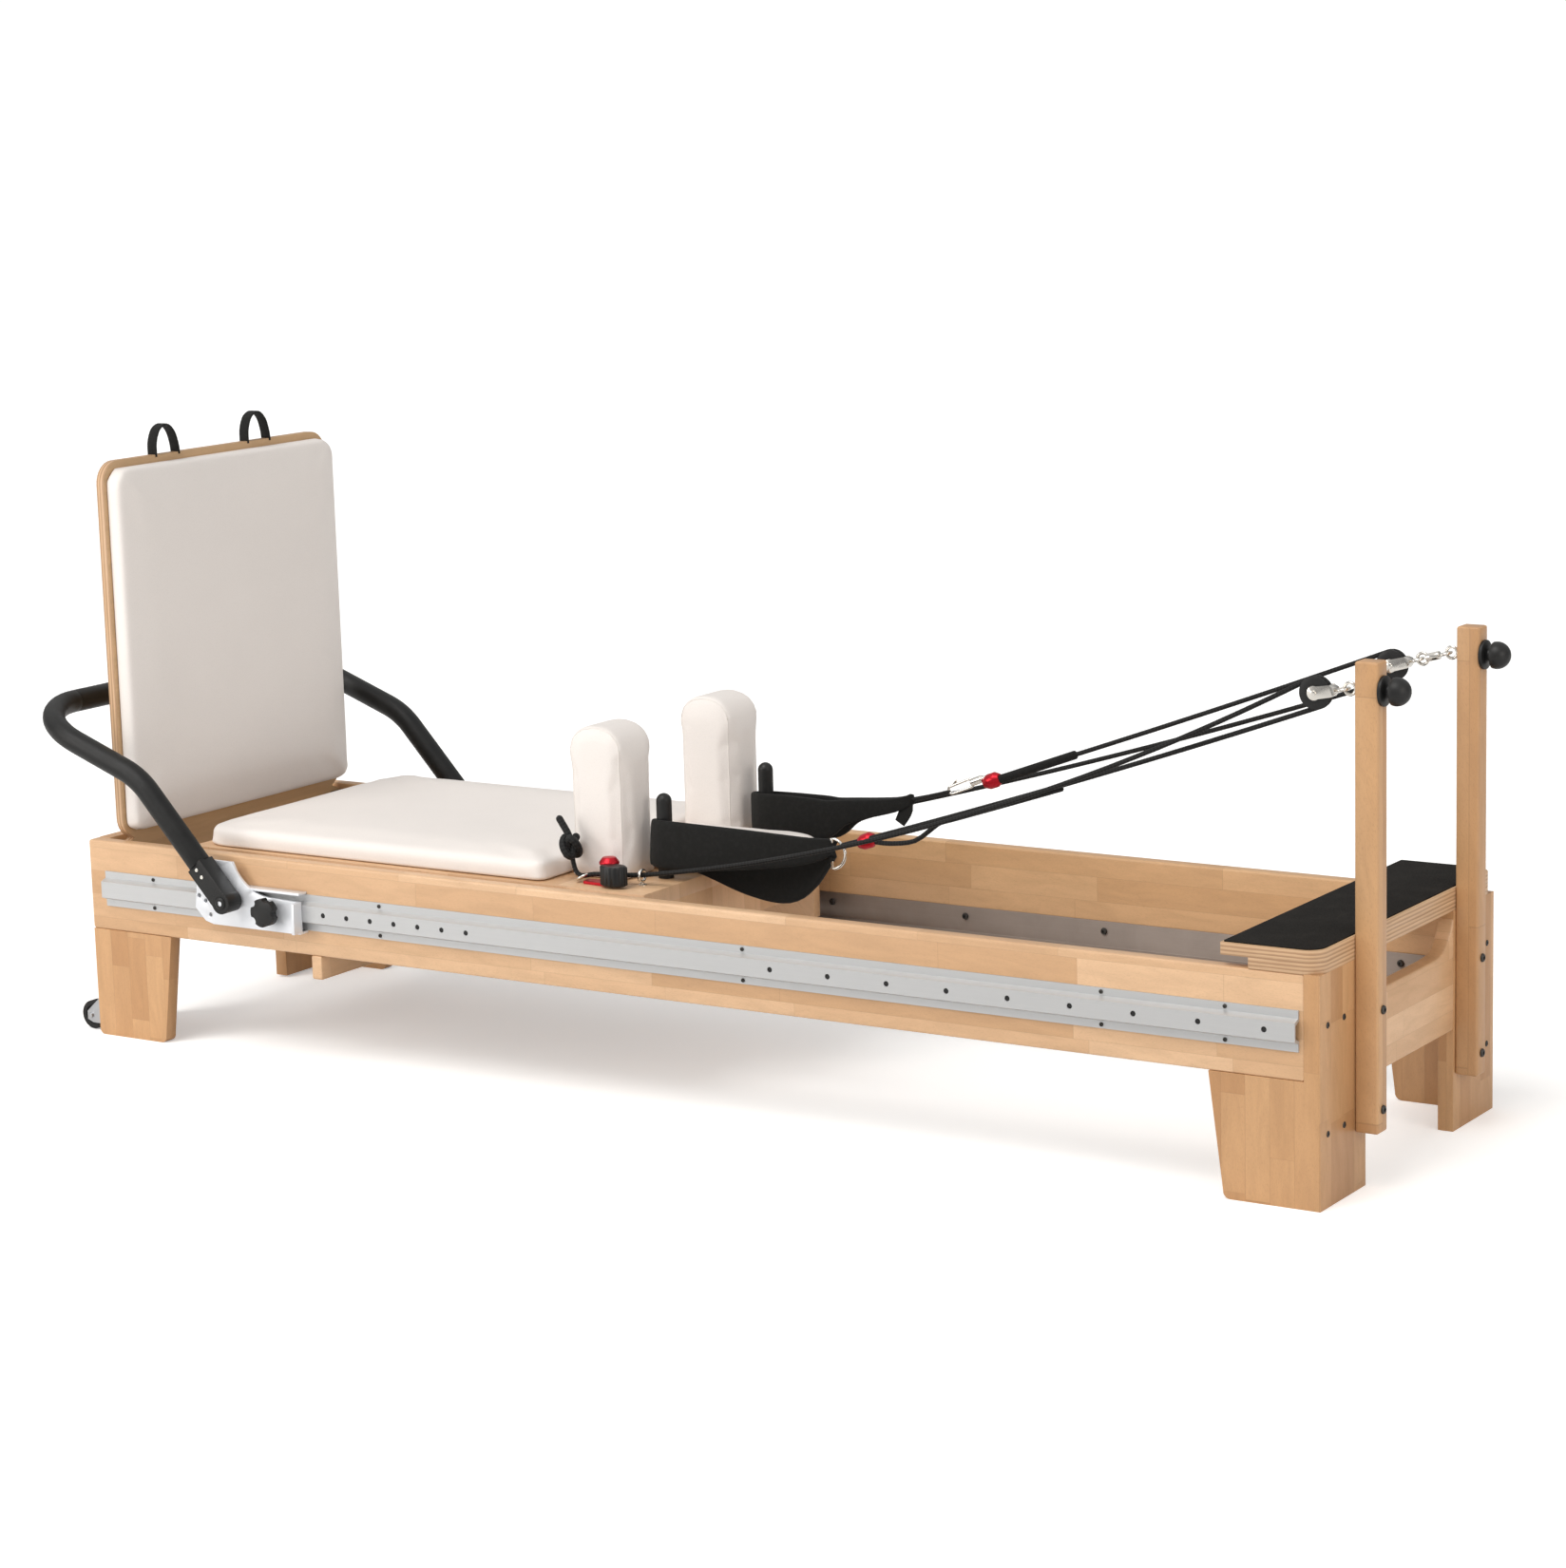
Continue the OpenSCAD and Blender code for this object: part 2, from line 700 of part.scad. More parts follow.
module hand_straps() {
    color(BLACK) place() {
        far_side() translate([0, 0, 404]) linear_extrude(52) strap_loop([1418, near_clip_y + 4]);
        translate([0, 0, 404]) linear_extrude(52) strap_loop([1440, far_clip_y + 4]);
    }
}

module near_strap_ring() {
    color(STEEL) place() translate([1456, -near_clip_y - 2, 424]) rotate([90, 0, 0]) ring(19, 2.5);
}

module far_strap_hook() {
    color(STEEL) place() translate([1530, far_clip_y, 488]) rotate([90, 20, 0]) union() {
        ring(13, 2.5);
        along_x(0, 0, 5, 12, 40);
    }
}

// Cord lock in the rope's lower end
module rope_lock() {
    rotate([0, 70, 0]) rotate_extrude() polygon([[0, -15], [9, -15], [13, -6], [13, 8], [8, 16], [0, 16]]);
}

// Near-side parts and their mirrored far-side twins
module near_side_panel() {
    color(WOOD) place() side_panel();
}

module far_side_panel() {
    color(WOOD) place() far_side() side_panel();
}

module near_foot_leg() {
    color(WOOD) place() foot_leg();
}

module far_foot_leg() {
    color(WOOD) place() far_side() foot_leg();
}

module near_head_leg() {
    color(WOOD) place() head_leg();
}

module far_head_leg() {
    color(WOOD) place() far_side() head_leg();
}

module near_outer_rail() {
    color(ALUMINIUM) place() outer_rail();
}

module far_outer_rail() {
    color(ALUMINIUM) place() far_side() outer_rail();
}

module near_riser() {
    color(WOOD) place() riser();
}

module far_riser() {
    color(WOOD) place() far_side() riser();
}

module near_riser_knob() {
    color(BLACK) place() riser_knob();
}

module far_riser_knob() {
    color(BLACK) place() far_side() riser_knob();
}

module near_transport_wheel() {
    color(BLACK) place() transport_wheel();
}

module far_transport_wheel() {
    color(BLACK) place() far_side() transport_wheel();
}

module near_footbar_bracket() {
    color(ALUMINIUM) place() footbar_bracket();
}

module far_footbar_bracket() {
    color(ALUMINIUM) place() far_side() footbar_bracket();
}

module near_lock_knob() {
    color(BLACK) place() lock_knob();
}

module far_lock_knob() {
    color(BLACK) place() far_side() lock_knob();
}

module near_shoulder_rest() {
    color(CREAM) place() shoulder_rest();
}

module far_shoulder_rest() {
    color(CREAM) place() far_side() shoulder_rest();
}

module near_pulley_block() {
    color(STEEL) place() translate([eye_x, -riser_y, eye_z]) rotate([0, -near_tilt, 0]) pulley_block(near_drop);
}

module far_pulley_block() {
    color(STEEL) place() translate([eye_x, riser_y, eye_z]) rotate([0, -far_tilt, 0]) pulley_block(far_drop);
}

module near_pulley_wheel() {
    color(BLACK) place() translate([near_sheave_x, -riser_y, near_sheave_z]) pulley_wheel();
}

module far_pulley_wheel() {
    color(BLACK) place() translate([far_sheave_x, riser_y, far_sheave_z]) pulley_wheel();
}

module near_rope_lock() {
    color(RED) place() translate([near_clip_x, -near_clip_y, near_clip_z]) rope_lock();
}

module far_rope_lock() {
    color(RED) place() translate([far_clip_x, far_clip_y, far_clip_z]) rope_lock();
}

module foot_end_wheels() {
    load_wheels(foot_axle_x);
}

module head_end_wheels() {
    load_wheels(head_axle_x);
}

near_side_panel();
far_side_panel();
foot_end_board();
head_end_board();
near_foot_leg();
far_foot_leg();
near_head_leg();
far_head_leg();
spring_brace();
near_outer_rail();
far_outer_rail();
inner_tracks();
platform_base();
platform_top();
platform_grip();
near_riser();
far_riser();
frame_screws();
spring_bar();
board_sockets();
carriage_stops();
eyebolts();
near_pulley_block();
far_pulley_block();
near_pulley_wheel();
far_pulley_wheel();
near_riser_knob();
far_riser_knob();
wheel_brackets();
near_transport_wheel();
far_transport_wheel();
near_footbar_bracket();
far_footbar_bracket();
near_lock_knob();
far_lock_knob();
footbar_tube();
footbar_grip();
footbar_sleeves();
jump_board();
jump_board_pad();
jump_board_loops();
carriage_deck();
carriage_chassis();
carriage_mat();
headrest_board();
headrest_pad();
near_shoulder_rest();
far_shoulder_rest();
strap_posts();
foot_end_wheels();
head_end_wheels();
springs();
rope_cleats();
ropes();
hand_straps();
near_strap_ring();
far_strap_hook();
near_rope_lock();
far_rope_lock();
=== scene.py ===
"""Looks for the pilates reformer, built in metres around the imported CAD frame. +X is the head end, -Y the near side."""
import json
import math

import bmesh
import bpy
from mathutils import Matrix, Quaternion, Vector
from mathutils.bvhtree import BVHTree


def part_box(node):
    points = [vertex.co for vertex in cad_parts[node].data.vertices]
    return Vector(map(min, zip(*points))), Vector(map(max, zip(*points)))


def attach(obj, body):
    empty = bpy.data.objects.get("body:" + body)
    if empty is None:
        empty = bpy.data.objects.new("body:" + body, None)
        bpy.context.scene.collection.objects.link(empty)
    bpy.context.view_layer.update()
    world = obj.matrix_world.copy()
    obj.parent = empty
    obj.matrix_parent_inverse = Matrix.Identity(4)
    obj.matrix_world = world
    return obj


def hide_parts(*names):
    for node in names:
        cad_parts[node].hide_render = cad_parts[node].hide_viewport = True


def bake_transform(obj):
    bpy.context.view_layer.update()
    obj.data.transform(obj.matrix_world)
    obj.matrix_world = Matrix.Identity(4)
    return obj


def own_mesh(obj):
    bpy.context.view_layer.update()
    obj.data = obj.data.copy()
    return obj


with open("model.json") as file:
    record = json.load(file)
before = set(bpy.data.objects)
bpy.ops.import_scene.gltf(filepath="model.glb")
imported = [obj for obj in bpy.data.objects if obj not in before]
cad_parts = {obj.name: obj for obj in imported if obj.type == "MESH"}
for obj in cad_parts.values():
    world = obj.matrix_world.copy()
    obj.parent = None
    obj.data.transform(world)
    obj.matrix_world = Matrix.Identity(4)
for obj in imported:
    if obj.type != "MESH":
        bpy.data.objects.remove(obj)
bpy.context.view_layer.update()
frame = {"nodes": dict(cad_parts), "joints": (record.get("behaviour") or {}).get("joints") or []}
nodes = frame["nodes"]

MM = 0.001
X, Y, Z = Vector((1, 0, 0)), Vector((0, 1, 0)), Vector((0, 0, 1))
FOOT_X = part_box("near_side_panel")[0].x
DECK_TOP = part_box("carriage_deck")[1].z


def joint_at(name):
    """Where a hinge's axis lies."""
    return Vector(next(j for j in frame["joints"] if j["name"] == name)["pos_m"])


def centre(node):
    low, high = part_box(node)
    return (low + high) / 2


# ---------------------------------------------------------------- materials

class Graph:
    """A material's node tree, with short calls that add nodes and join them."""

    def __init__(self, name):
        self.material = bpy.data.materials.new(name)
        self.material.use_nodes = True
        self.tree = self.material.node_tree
        self.surface = self.tree.nodes["Principled BSDF"]

    def put(self, socket, value):
        if isinstance(value, bpy.types.NodeSocket):
            self.tree.links.new(value, socket)
        elif socket.type == "RGBA" and len(value) == 3:
            socket.default_value = (*value, 1)
        else:
            socket.default_value = value

    def node(self, kind, inputs=None, **settings):
        made = self.tree.nodes.new("ShaderNode" + kind)
        for key, value in settings.items():
            setattr(made, key, value)
        for key, value in (inputs or {}).items():
            self.put(made.inputs[key], value)
        return made

    def calc(self, operation, *values):
        return self.node("Math", dict(enumerate(values)), operation=operation).outputs[0]

    def position(self, source="Object"):
        return self.node("TexCoord").outputs[source]

    def along(self, direction, vector=None):
        vector = vector or self.position()
        return self.node("VectorMath", {0: vector, 1: direction}, operation="DOT_PRODUCT").outputs["Value"]

    def join(self, x, y, z=0.0):
        return self.node("CombineXYZ", {0: x, 1: y, 2: z}).outputs[0]

    def noise(self, vector, scale, detail=4.0, rough=0.5, distort=0.0):
        values = {"Vector": vector, "Scale": scale, "Detail": detail, "Roughness": rough, "Distortion": distort}
        return self.node("TexNoise", values).outputs[0]

    def cells(self, vector, scale, feature="F1"):
        return self.node("TexVoronoi", {"Vector": vector, "Scale": scale}, feature=feature).outputs["Distance"]

    def random(self, x, y=0.0):
        return self.node("TexWhiteNoise", {"Vector": self.join(x, y)}, noise_dimensions="2D").outputs["Value"]

    def remap(self, value, low, high, to_low=0.0, to_high=1.0):
        values = {0: value, 1: low, 2: high, 3: to_low, 4: to_high}
        return self.node("MapRange", values).outputs[0]

    def ramp(self, value, stops):
        made = self.node("ValToRGB", {0: value})
        marks = made.color_ramp.elements
        while len(marks) < len(stops):
            marks.new(0.5)
        for mark, (place, colour) in zip(marks, stops):
            mark.position = place
            mark.color = (*colour, 1)
        return made.outputs[0]

    def mix(self, factor, a, b, blend="MIX"):
        made = self.node("Mix", data_type="RGBA", blend_type=blend)
        self.put(made.inputs[0], factor)
        self.put(made.inputs[6], a)
        self.put(made.inputs[7], b)
        return made.outputs[2]

    def bump(self, height, distance, strength=1.0, under=None):
        values = {"Height": height, "Distance": distance, "Strength": strength}
        if under:
            values["Normal"] = under
        return self.node("Bump", values).outputs[0]

    def finish(self, **values):
        names = {"colour": "Base Color", "rough": "Roughness", "metal": "Metallic", "normal": "Normal",
                 "coat": "Coat Weight", "coat_rough": "Coat Roughness", "sheen": "Sheen Weight",
                 "specular": "Specular IOR Level", "sheen_rough": "Sheen Roughness"}
        for key, value in values.items():
            self.put(self.surface.inputs[names[key]], value)
        return self.material


def wood(name, grain, across, stave=0.042, block=0.34, light=(0.76, 0.50, 0.30), dark=(0.60, 0.355, 0.185), seed=0.0):
    """Lacquered hardwood of finger-jointed staves that run along grain, side by side along across."""
    g = Graph(name)
    u, v = g.along(grain), g.along(across)
    lane = g.calc("DIVIDE", g.calc("ADD", v, 7.31 + seed), stave)
    row = g.calc("FLOOR", lane)
    run = g.calc("ADD", g.calc("DIVIDE", u, block), g.calc("MULTIPLY", g.random(row, seed), 9.0))
    # staves are cut to uneven lengths
    run = g.calc("ADD", run, g.calc("MULTIPLY", g.calc("SINE", g.calc("MULTIPLY", run, 2.1)), 0.28))
    column = g.calc("FLOOR", run)
    shade = g.random(row, column)
    middle = tuple(0.5 * (a + b) for a, b in zip(light, dark))
    colour = g.ramp(shade, [(0.0, dark), (0.45, middle), (1.0, light)])
    shift = g.calc("MULTIPLY", shade, 23.0)
    depth = g.along((0.31, 0.37, 0.29))
    stretched = g.join(g.calc("ADD", g.calc("MULTIPLY", u, 2.4), shift), g.calc("MULTIPLY", v, 46.0),
                       g.calc("MULTIPLY", depth, 30.0))
    broad = g.noise(stretched, 1.0, 5.0, 0.62, 0.6)
    fine = g.noise(g.join(g.calc("MULTIPLY", u, 26.0), g.calc("MULTIPLY", v, 900.0), g.calc("MULTIPLY", depth, 700.0)),
                   1.0, 3.0, 0.6)
    colour = g.mix(g.remap(broad, 0.38, 0.72, 0.0, 0.55), colour, g.mix(0.5, colour, tuple(0.6 * c for c in dark)))
    colour = g.mix(g.remap(fine, 0.52, 0.8, 0.0, 0.35), colour, tuple(0.55 * c for c in dark))
    across_seam = g.calc("ABSOLUTE", g.calc("SUBTRACT", g.calc("FRACT", lane), 0.5))
    along_seam = g.calc("ABSOLUTE", g.calc("SUBTRACT", g.calc("FRACT", run), 0.5))
    seam = g.calc("MAXIMUM", g.remap(across_seam, 0.5 - 0.0005 / stave, 0.5), g.remap(along_seam, 0.498, 0.5))
    colour = g.mix(g.calc("MULTIPLY", seam, 0.38), colour, tuple(0.45 * c for c in dark))
    height = g.calc("SUBTRACT", g.calc("MULTIPLY", fine, 0.25), seam)
    return g.finish(colour=colour, rough=g.remap(broad, 0.3, 0.8, 0.36, 0.5), coat=0.12, coat_rough=0.3,
                    normal=g.bump(height, 0.0003, 0.5))


def plywood(name, through, in_plane, face=(0.62, 0.40, 0.215)):
    """Plywood: veneered faces, and edges that show each layer. through and in_plane are noise scales along X, Y, Z."""
    g = Graph(name)
    facing = g.calc("ABSOLUTE", g.along(through, g.node("TexCoord").outputs["Normal"]))
    streak = g.noise(g.node("Mapping", {"Vector": g.position(), "Scale": in_plane}).outputs[0], 1.0, 4.0, 0.6)
    level = g.calc("ADD", g.calc("DIVIDE", g.along(through), 0.0062), g.calc("MULTIPLY", streak, 0.5))
    layer = g.calc("FRACT", level)
    edge = g.ramp(layer, [(0.0, (0.60, 0.385, 0.22)), (0.45, (0.64, 0.42, 0.25)),
                          (0.55, (0.40, 0.235, 0.125)), (0.9, (0.44, 0.26, 0.14)), (1.0, (0.60, 0.385, 0.22))])
    grain = g.noise(g.node("Mapping", {"Vector": g.position(), "Scale": (40, 3, 40)}).outputs[0], 1.0, 6.0, 0.6, 0.8)
    veneer = g.mix(g.remap(grain, 0.35, 0.75, 0.0, 0.7), face, tuple(0.72 * c for c in face))
    edge = g.mix(g.remap(streak, 0.45, 0.75, 0.0, 0.45), edge, (0.33, 0.19, 0.10))
    on_face = g.remap(facing, 0.6, 0.8)
    height = g.mix(on_face, layer, grain)
    return g.finish(colour=g.mix(on_face, edge, veneer), rough=g.remap(grain, 0.3, 0.8, 0.4, 0.56), coat=0.08,
                    normal=g.bump(height, 0.0002, 0.3))


def leather(name, colour=(0.85, 0.80, 0.765)):
    """Soft synthetic leather: pebbled grain, faint creases and slight unevenness of tone."""
    g = Graph(name)
    place = g.position()
    pebble = g.cells(place, 620.0, "SMOOTH_F1")
    pores = g.noise(place, 1500.0, 2.0, 0.5)
    crease = g.noise(place, 16.0, 4.0, 0.6, 1.2)
    cloud = g.noise(place, 5.0, 3.0, 0.5)
    tone = g.mix(g.remap(cloud, 0.3, 0.7), tuple(0.965 * c for c in colour), colour)
    tone = g.mix(g.remap(pebble, 0.35, 0.75, 0.0, 0.22), tone, tuple(0.84 * c for c in colour))
    grain = g.bump(g.calc("ADD", pebble, g.calc("MULTIPLY", pores, 0.3)), 0.00035, 0.45)
    return g.finish(colour=tone, rough=g.remap(crease, 0.3, 0.7, 0.46, 0.56), sheen=0.12, sheen_rough=0.4,
                    specular=0.42, normal=g.bump(crease, 0.002, 0.22, grain))


def foam(name):
    """Closed-cell foam rubber: matt black with fine pits."""
    g = Graph(name)
    place = g.position()
    pits = g.cells(place, 900.0)
    rub = g.noise(place, 34.0, 4.0, 0.6)
    tone = g.mix(g.remap(rub, 0.35, 0.75), (0.004, 0.004, 0.004), (0.010, 0.0098, 0.0095))
    return g.finish(colour=tone, rough=g.remap(rub, 0.3, 0.7, 0.36, 0.5), specular=0.3,
                    normal=g.bump(g.calc("ADD", pits, rub), 0.0004, 0.5))


def moulded(name, colour=(0.009, 0.009, 0.009), rough=0.42, grain=380.0):
    """Moulded or powder-coated surface with a fine even texture and lighter, worn patches of tone at random."""
    g = Graph(name)
    place = g.position()
    texture = g.noise(place, grain, 3.0, 0.55)
    wear = g.noise(place, 24.0, 5.0, 0.65)
    tone = g.mix(g.remap(wear, 0.42, 0.8, 0.0, 0.5), colour, tuple(1.5 * c + 0.005 for c in colour))
    return g.finish(colour=tone, rough=g.remap(wear, 0.3, 0.75, rough - 0.06, rough + 0.12), specular=0.35,
                    normal=g.bump(texture, 0.0002, 0.35))


def metal(name, colour, rough, brush=(1, 1, 1), marks=0.5, metallic=1.0):
    """Metal with fine brush lines drawn out along the small axis of brush, and smudges of roughness."""
    g = Graph(name)
    lines = g.noise(g.node("Mapping", {"Vector": g.position(), "Scale": brush}).outputs[0], 60.0, 4.0, 0.6)
    smudge = g.noise(g.position(), 13.0, 5.0, 0.6, 0.4)
    tone = g.mix(g.remap(smudge, 0.35, 0.75, 0.0, marks), colour, tuple(0.78 * c for c in colour))
    worn = g.remap(smudge, 0.4, 0.8, 0.0, 0.24 * marks)
    roughness = g.calc("ADD", g.remap(lines, 0.3, 0.7, rough - 0.04, rough + 0.06), worn)
    return g.finish(colour=tone, metal=metallic, rough=roughness, normal=g.bump(lines, 0.0001, 0.25))


def webbing(name, pitch=0.0022, stitch_at=()):
    """Black woven webbing. U runs along the band and V across it, both in metres."""
    g = Graph(name)
    place = g.node("SeparateXYZ", {0: g.position("UV")})
    u, v = place.outputs[0], place.outputs[1]
    turn = 2 * math.pi / pitch
    warp = g.calc("SINE", g.calc("MULTIPLY", g.calc("ADD", u, v), turn))
    weft = g.calc("SINE", g.calc("MULTIPLY", g.calc("SUBTRACT", u, v), turn))
    weave = g.calc("MULTIPLY", warp, weft)
    fluff = g.noise(g.position(), 140.0, 4.0, 0.6)
    tone = g.mix(g.remap(weave, -1.0, 1.0), (0.005, 0.005, 0.005), (0.015, 0.015, 0.014))
    tone = g.mix(g.remap(fluff, 0.45, 0.8, 0.0, 0.5), tone, (0.022, 0.022, 0.021))
    return g.finish(colour=tone, rough=0.7, sheen=0.04, sheen_rough=0.5, specular=0.16,
                    normal=g.bump(weave, 0.0004, 0.6))


def cord(name):
    """Braided black cord. U runs along the rope in metres and V once around it."""
    g = Graph(name)
    place = g.node("SeparateXYZ", {0: g.position("UV")})
    u, v = g.calc("MULTIPLY", place.outputs[0], 520.0), g.calc("MULTIPLY", place.outputs[1], 8 * math.pi)
    braid = g.calc("MULTIPLY", g.calc("SINE", g.calc("ADD", u, v)), g.calc("SINE", g.calc("SUBTRACT", u, v)))
    tone = g.mix(g.remap(braid, -1.0, 1.0), (0.005, 0.005, 0.005), (0.02, 0.02, 0.02))
    return g.finish(colour=tone, rough=0.6, sheen=0.03, specular=0.2, normal=g.bump(braid, 0.0006, 0.7))


def non_slip(name):
    """Charcoal non-slip sheet with a tight raised grain."""
    g = Graph(name)
    place = g.position()
    grit = g.cells(place, 480.0)
    dust = g.noise(place, 22.0, 5.0, 0.65)
    tone = g.mix(g.remap(grit, 0.1, 0.7), (0.026, 0.024, 0.022), (0.013, 0.012, 0.011))
    tone = g.mix(g.remap(dust, 0.45, 0.8, 0.0, 0.35), tone, (0.038, 0.035, 0.031))
    return g.finish(colour=tone, rough=0.85, specular=0.06, normal=g.bump(g.calc("SUBTRACT", 1.0, grit), 0.0006, 0.7))


PANEL_WOOD = wood("panel_wood", (1, 0, 0), (0, 0.03, 1), seed=0.0)
# the far panel is the near panel's wood painted darker: painted shade for the far side, which stands in partial shade
FAR_PANEL_SHADED_WOOD = wood("far_panel_wood_painted_shade", (1, 0, 0), (0, 0.03, 1), light=(0.71, 0.435, 0.225),
                      dark=(0.56, 0.31, 0.14), seed=3.7)
CROSS_WOOD = wood("cross_wood", (0, 1, 0), (0, 0, 1), seed=1.9)
DECK_WOOD = wood("deck_wood", (1, 0, 0), (0, 1, 0.02), stave=0.048, seed=5.3)
LEG_WOOD = wood("leg_wood", (0, 0, 1), (1, 1, 0), stave=0.04, block=0.21, light=(0.62, 0.36, 0.175),
                dark=(0.48, 0.25, 0.108), seed=2.2)
RISER_WOOD = wood("riser_wood", (0, 0, 1), (0.5, 1, 0), stave=0.05, block=0.9, light=(0.61, 0.355, 0.172),
                  dark=(0.50, 0.27, 0.122), seed=4.4)
PLATFORM_PLY = plywood("platform_ply", (0, 0, 1), (9, 9, 260))
BOARD_PLY = plywood("board_ply", (1, 0, 0), (260, 9, 9))
CREAM = leather("cream_leather")
FOAM = foam("foam_grip")
BLACK = moulded("black_plastic")
BLACK_STEEL = moulded("black_steel", (0.006, 0.006, 0.006), 0.36, 620.0)
RUBBER = moulded("tyre_rubber", (0.010, 0.010, 0.010), 0.6, 260.0)
BRACKET = metal("bracket_paint", (0.80, 0.82, 0.86), 0.36, (1, 1, 1), 0.35, 0.35)
ALUMINIUM = metal("aluminium", (0.56, 0.565, 0.57), 0.5, (0.04, 6, 6), 0.06, 0.75)
# the inner tracks are aluminium painted dark and brownish: painted shade for their place in shadow, and a painted
# reflection of the wood around them
SHADED_TRACK_METAL = metal("track_aluminium", (0.34, 0.285, 0.25), 0.5, (0.04, 6, 6), 0.5, 0.7)
CHROME = metal("chrome", (0.76, 0.73, 0.68), 0.14, (1, 1, 1), 0.3)
STEEL = metal("zinc_steel", (0.52, 0.53, 0.55), 0.3, (1, 1, 1), 0.5)
DARK_SCREW = metal("dark_screw", (0.07, 0.065, 0.06), 0.4, (1, 1, 1), 0.5, 0.8)
RED = metal("red_anodised", (0.50, 0.010, 0.022), 0.3, (1, 1, 1), 0.45, 0.7)
WEBBING = webbing("webbing")
CORD = cord("braided_cord")
GRIP_SHEET = non_slip("non_slip_sheet")


# ---------------------------------------------------------------- CAD nodes that stay

def dress(material, *names, bevel=0.0, segments=3):
    """Gives CAD nodes their material, smooth shading and, where bevel is not 0, softened edges."""
    for name in names:
        made = nodes[name]
        made.data.materials.clear()
        made.data.materials.append(material)
        soften(made, bevel, segments)


def soften(made, bevel=0.0, segments=3, sharp=32):
    """Smooth shading that keeps sharp edges, after an optional bevel. The mesh itself is untouched."""
    if bevel:
        weld = made.modifiers.new("weld", "WELD")
        weld.merge_threshold = 2e-5
        edge = made.modifiers.new("bevel", "BEVEL")
        edge.width = bevel
        edge.segments = segments
        edge.limit_method = "ANGLE"
        edge.angle_limit = math.radians(sharp)
        edge.harden_normals = True
    for face in made.data.polygons:
        face.use_smooth = True
    made.data.set_sharp_from_angle(angle=math.radians(sharp))


dress(PANEL_WOOD, "near_side_panel", bevel=4 * MM)
dress(FAR_PANEL_SHADED_WOOD, "far_side_panel", bevel=4 * MM)
dress(CROSS_WOOD, "foot_end_board", "head_end_board", "spring_brace", bevel=3 * MM)
dress(LEG_WOOD, "near_foot_leg", "far_foot_leg", "near_head_leg", "far_head_leg", bevel=3 * MM)
dress(RISER_WOOD, "near_riser", "far_riser", bevel=4 * MM)
dress(DECK_WOOD, "carriage_deck", "carriage_chassis", "headrest_board", bevel=2.5 * MM)
dress(PLATFORM_PLY, "platform_base", "platform_top", bevel=1.2 * MM, segments=2)
dress(GRIP_SHEET, "platform_grip", bevel=0.6 * MM, segments=2)
dress(BOARD_PLY, "jump_board", bevel=2.5 * MM)
dress(ALUMINIUM, "near_outer_rail", "far_outer_rail")
dress(SHADED_TRACK_METAL, "inner_tracks", bevel=0.5 * MM, segments=2)
dress(BRACKET, "near_footbar_bracket", "far_footbar_bracket", bevel=1.2 * MM, segments=2)
dress(BLACK, "near_lock_knob", "far_lock_knob", bevel=1.5 * MM, segments=2)
dress(BLACK, "board_sockets", "carriage_stops", bevel=1.5 * MM, segments=2)
dress(BLACK, "strap_posts")
dress(BLACK_STEEL, "footbar_sleeves", bevel=3 * MM)
dress(STEEL, "footbar_tube", "spring_bar", "wheel_brackets", bevel=0.8 * MM, segments=2)
dress(CHROME, "eyebolts", "near_pulley_block", "far_pulley_block", bevel=0.5 * MM, segments=2)
dress(BLACK, "near_pulley_wheel", "far_pulley_wheel", bevel=0.5 * MM, segments=2)
dress(DARK_SCREW, "frame_screws", bevel=0.5 * MM, segments=2)
dress(CHROME, "near_strap_ring", "far_strap_hook")
dress(RED, "near_rope_lock", "far_rope_lock", "rope_cleats", bevel=1 * MM, segments=2)
dress(RUBBER, "near_transport_wheel", "far_transport_wheel", "foot_end_wheels", "head_end_wheels", bevel=2.5 * MM)
dress(FOAM, "footbar_grip")
dress(BLACK, "near_riser_knob", "far_riser_knob")
dress(WEBBING, "jump_board_loops", "hand_straps")
dress(CORD, "ropes")
dress(STEEL, "springs")
dress(CREAM, "jump_board_pad", "carriage_mat", "headrest_pad", "near_shoulder_rest", "far_shoulder_rest")

# ---------------------------------------------------------------- mesh helpers

def place(x, y, z):
    """A point given in millimetres, its x measured from the foot end of the frame."""
    return Vector((FOOT_X + x * MM, y * MM, z * MM))


def mirrored(points, far):
    """The points themselves, or their twins across the middle plane for the far side."""
    return [Vector((p.x, -p.y, *p[2:])) if far else p for p in points]


def add(name, mesh, material, body=None, stands_for=()):
    made = bpy.data.objects.new(name, mesh)
    bpy.context.scene.collection.objects.link(made)
    mesh.materials.clear()
    mesh.materials.append(material)
    for face in mesh.polygons:
        face.use_smooth = True
    mesh.set_sharp_from_angle(angle=math.radians(42))
    if stands_for:
        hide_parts(*stands_for)
    if body:
        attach(made, body)
    return made


def to_mesh(bm, name="shape"):
    bmesh.ops.remove_doubles(bm, verts=bm.verts, dist=1e-6)
    bmesh.ops.recalc_face_normals(bm, faces=bm.faces)
    mesh = bpy.data.meshes.new(name)
    bm.to_mesh(mesh)
    bm.free()
    return mesh


def joined(meshes):
    """One mesh that holds them all."""
    bm = bmesh.new()
    for mesh in meshes:
        bm.from_mesh(mesh)
        bpy.data.meshes.remove(mesh)
    mesh = bpy.data.meshes.new("shape")
    bm.to_mesh(mesh)
    bm.free()
    return mesh


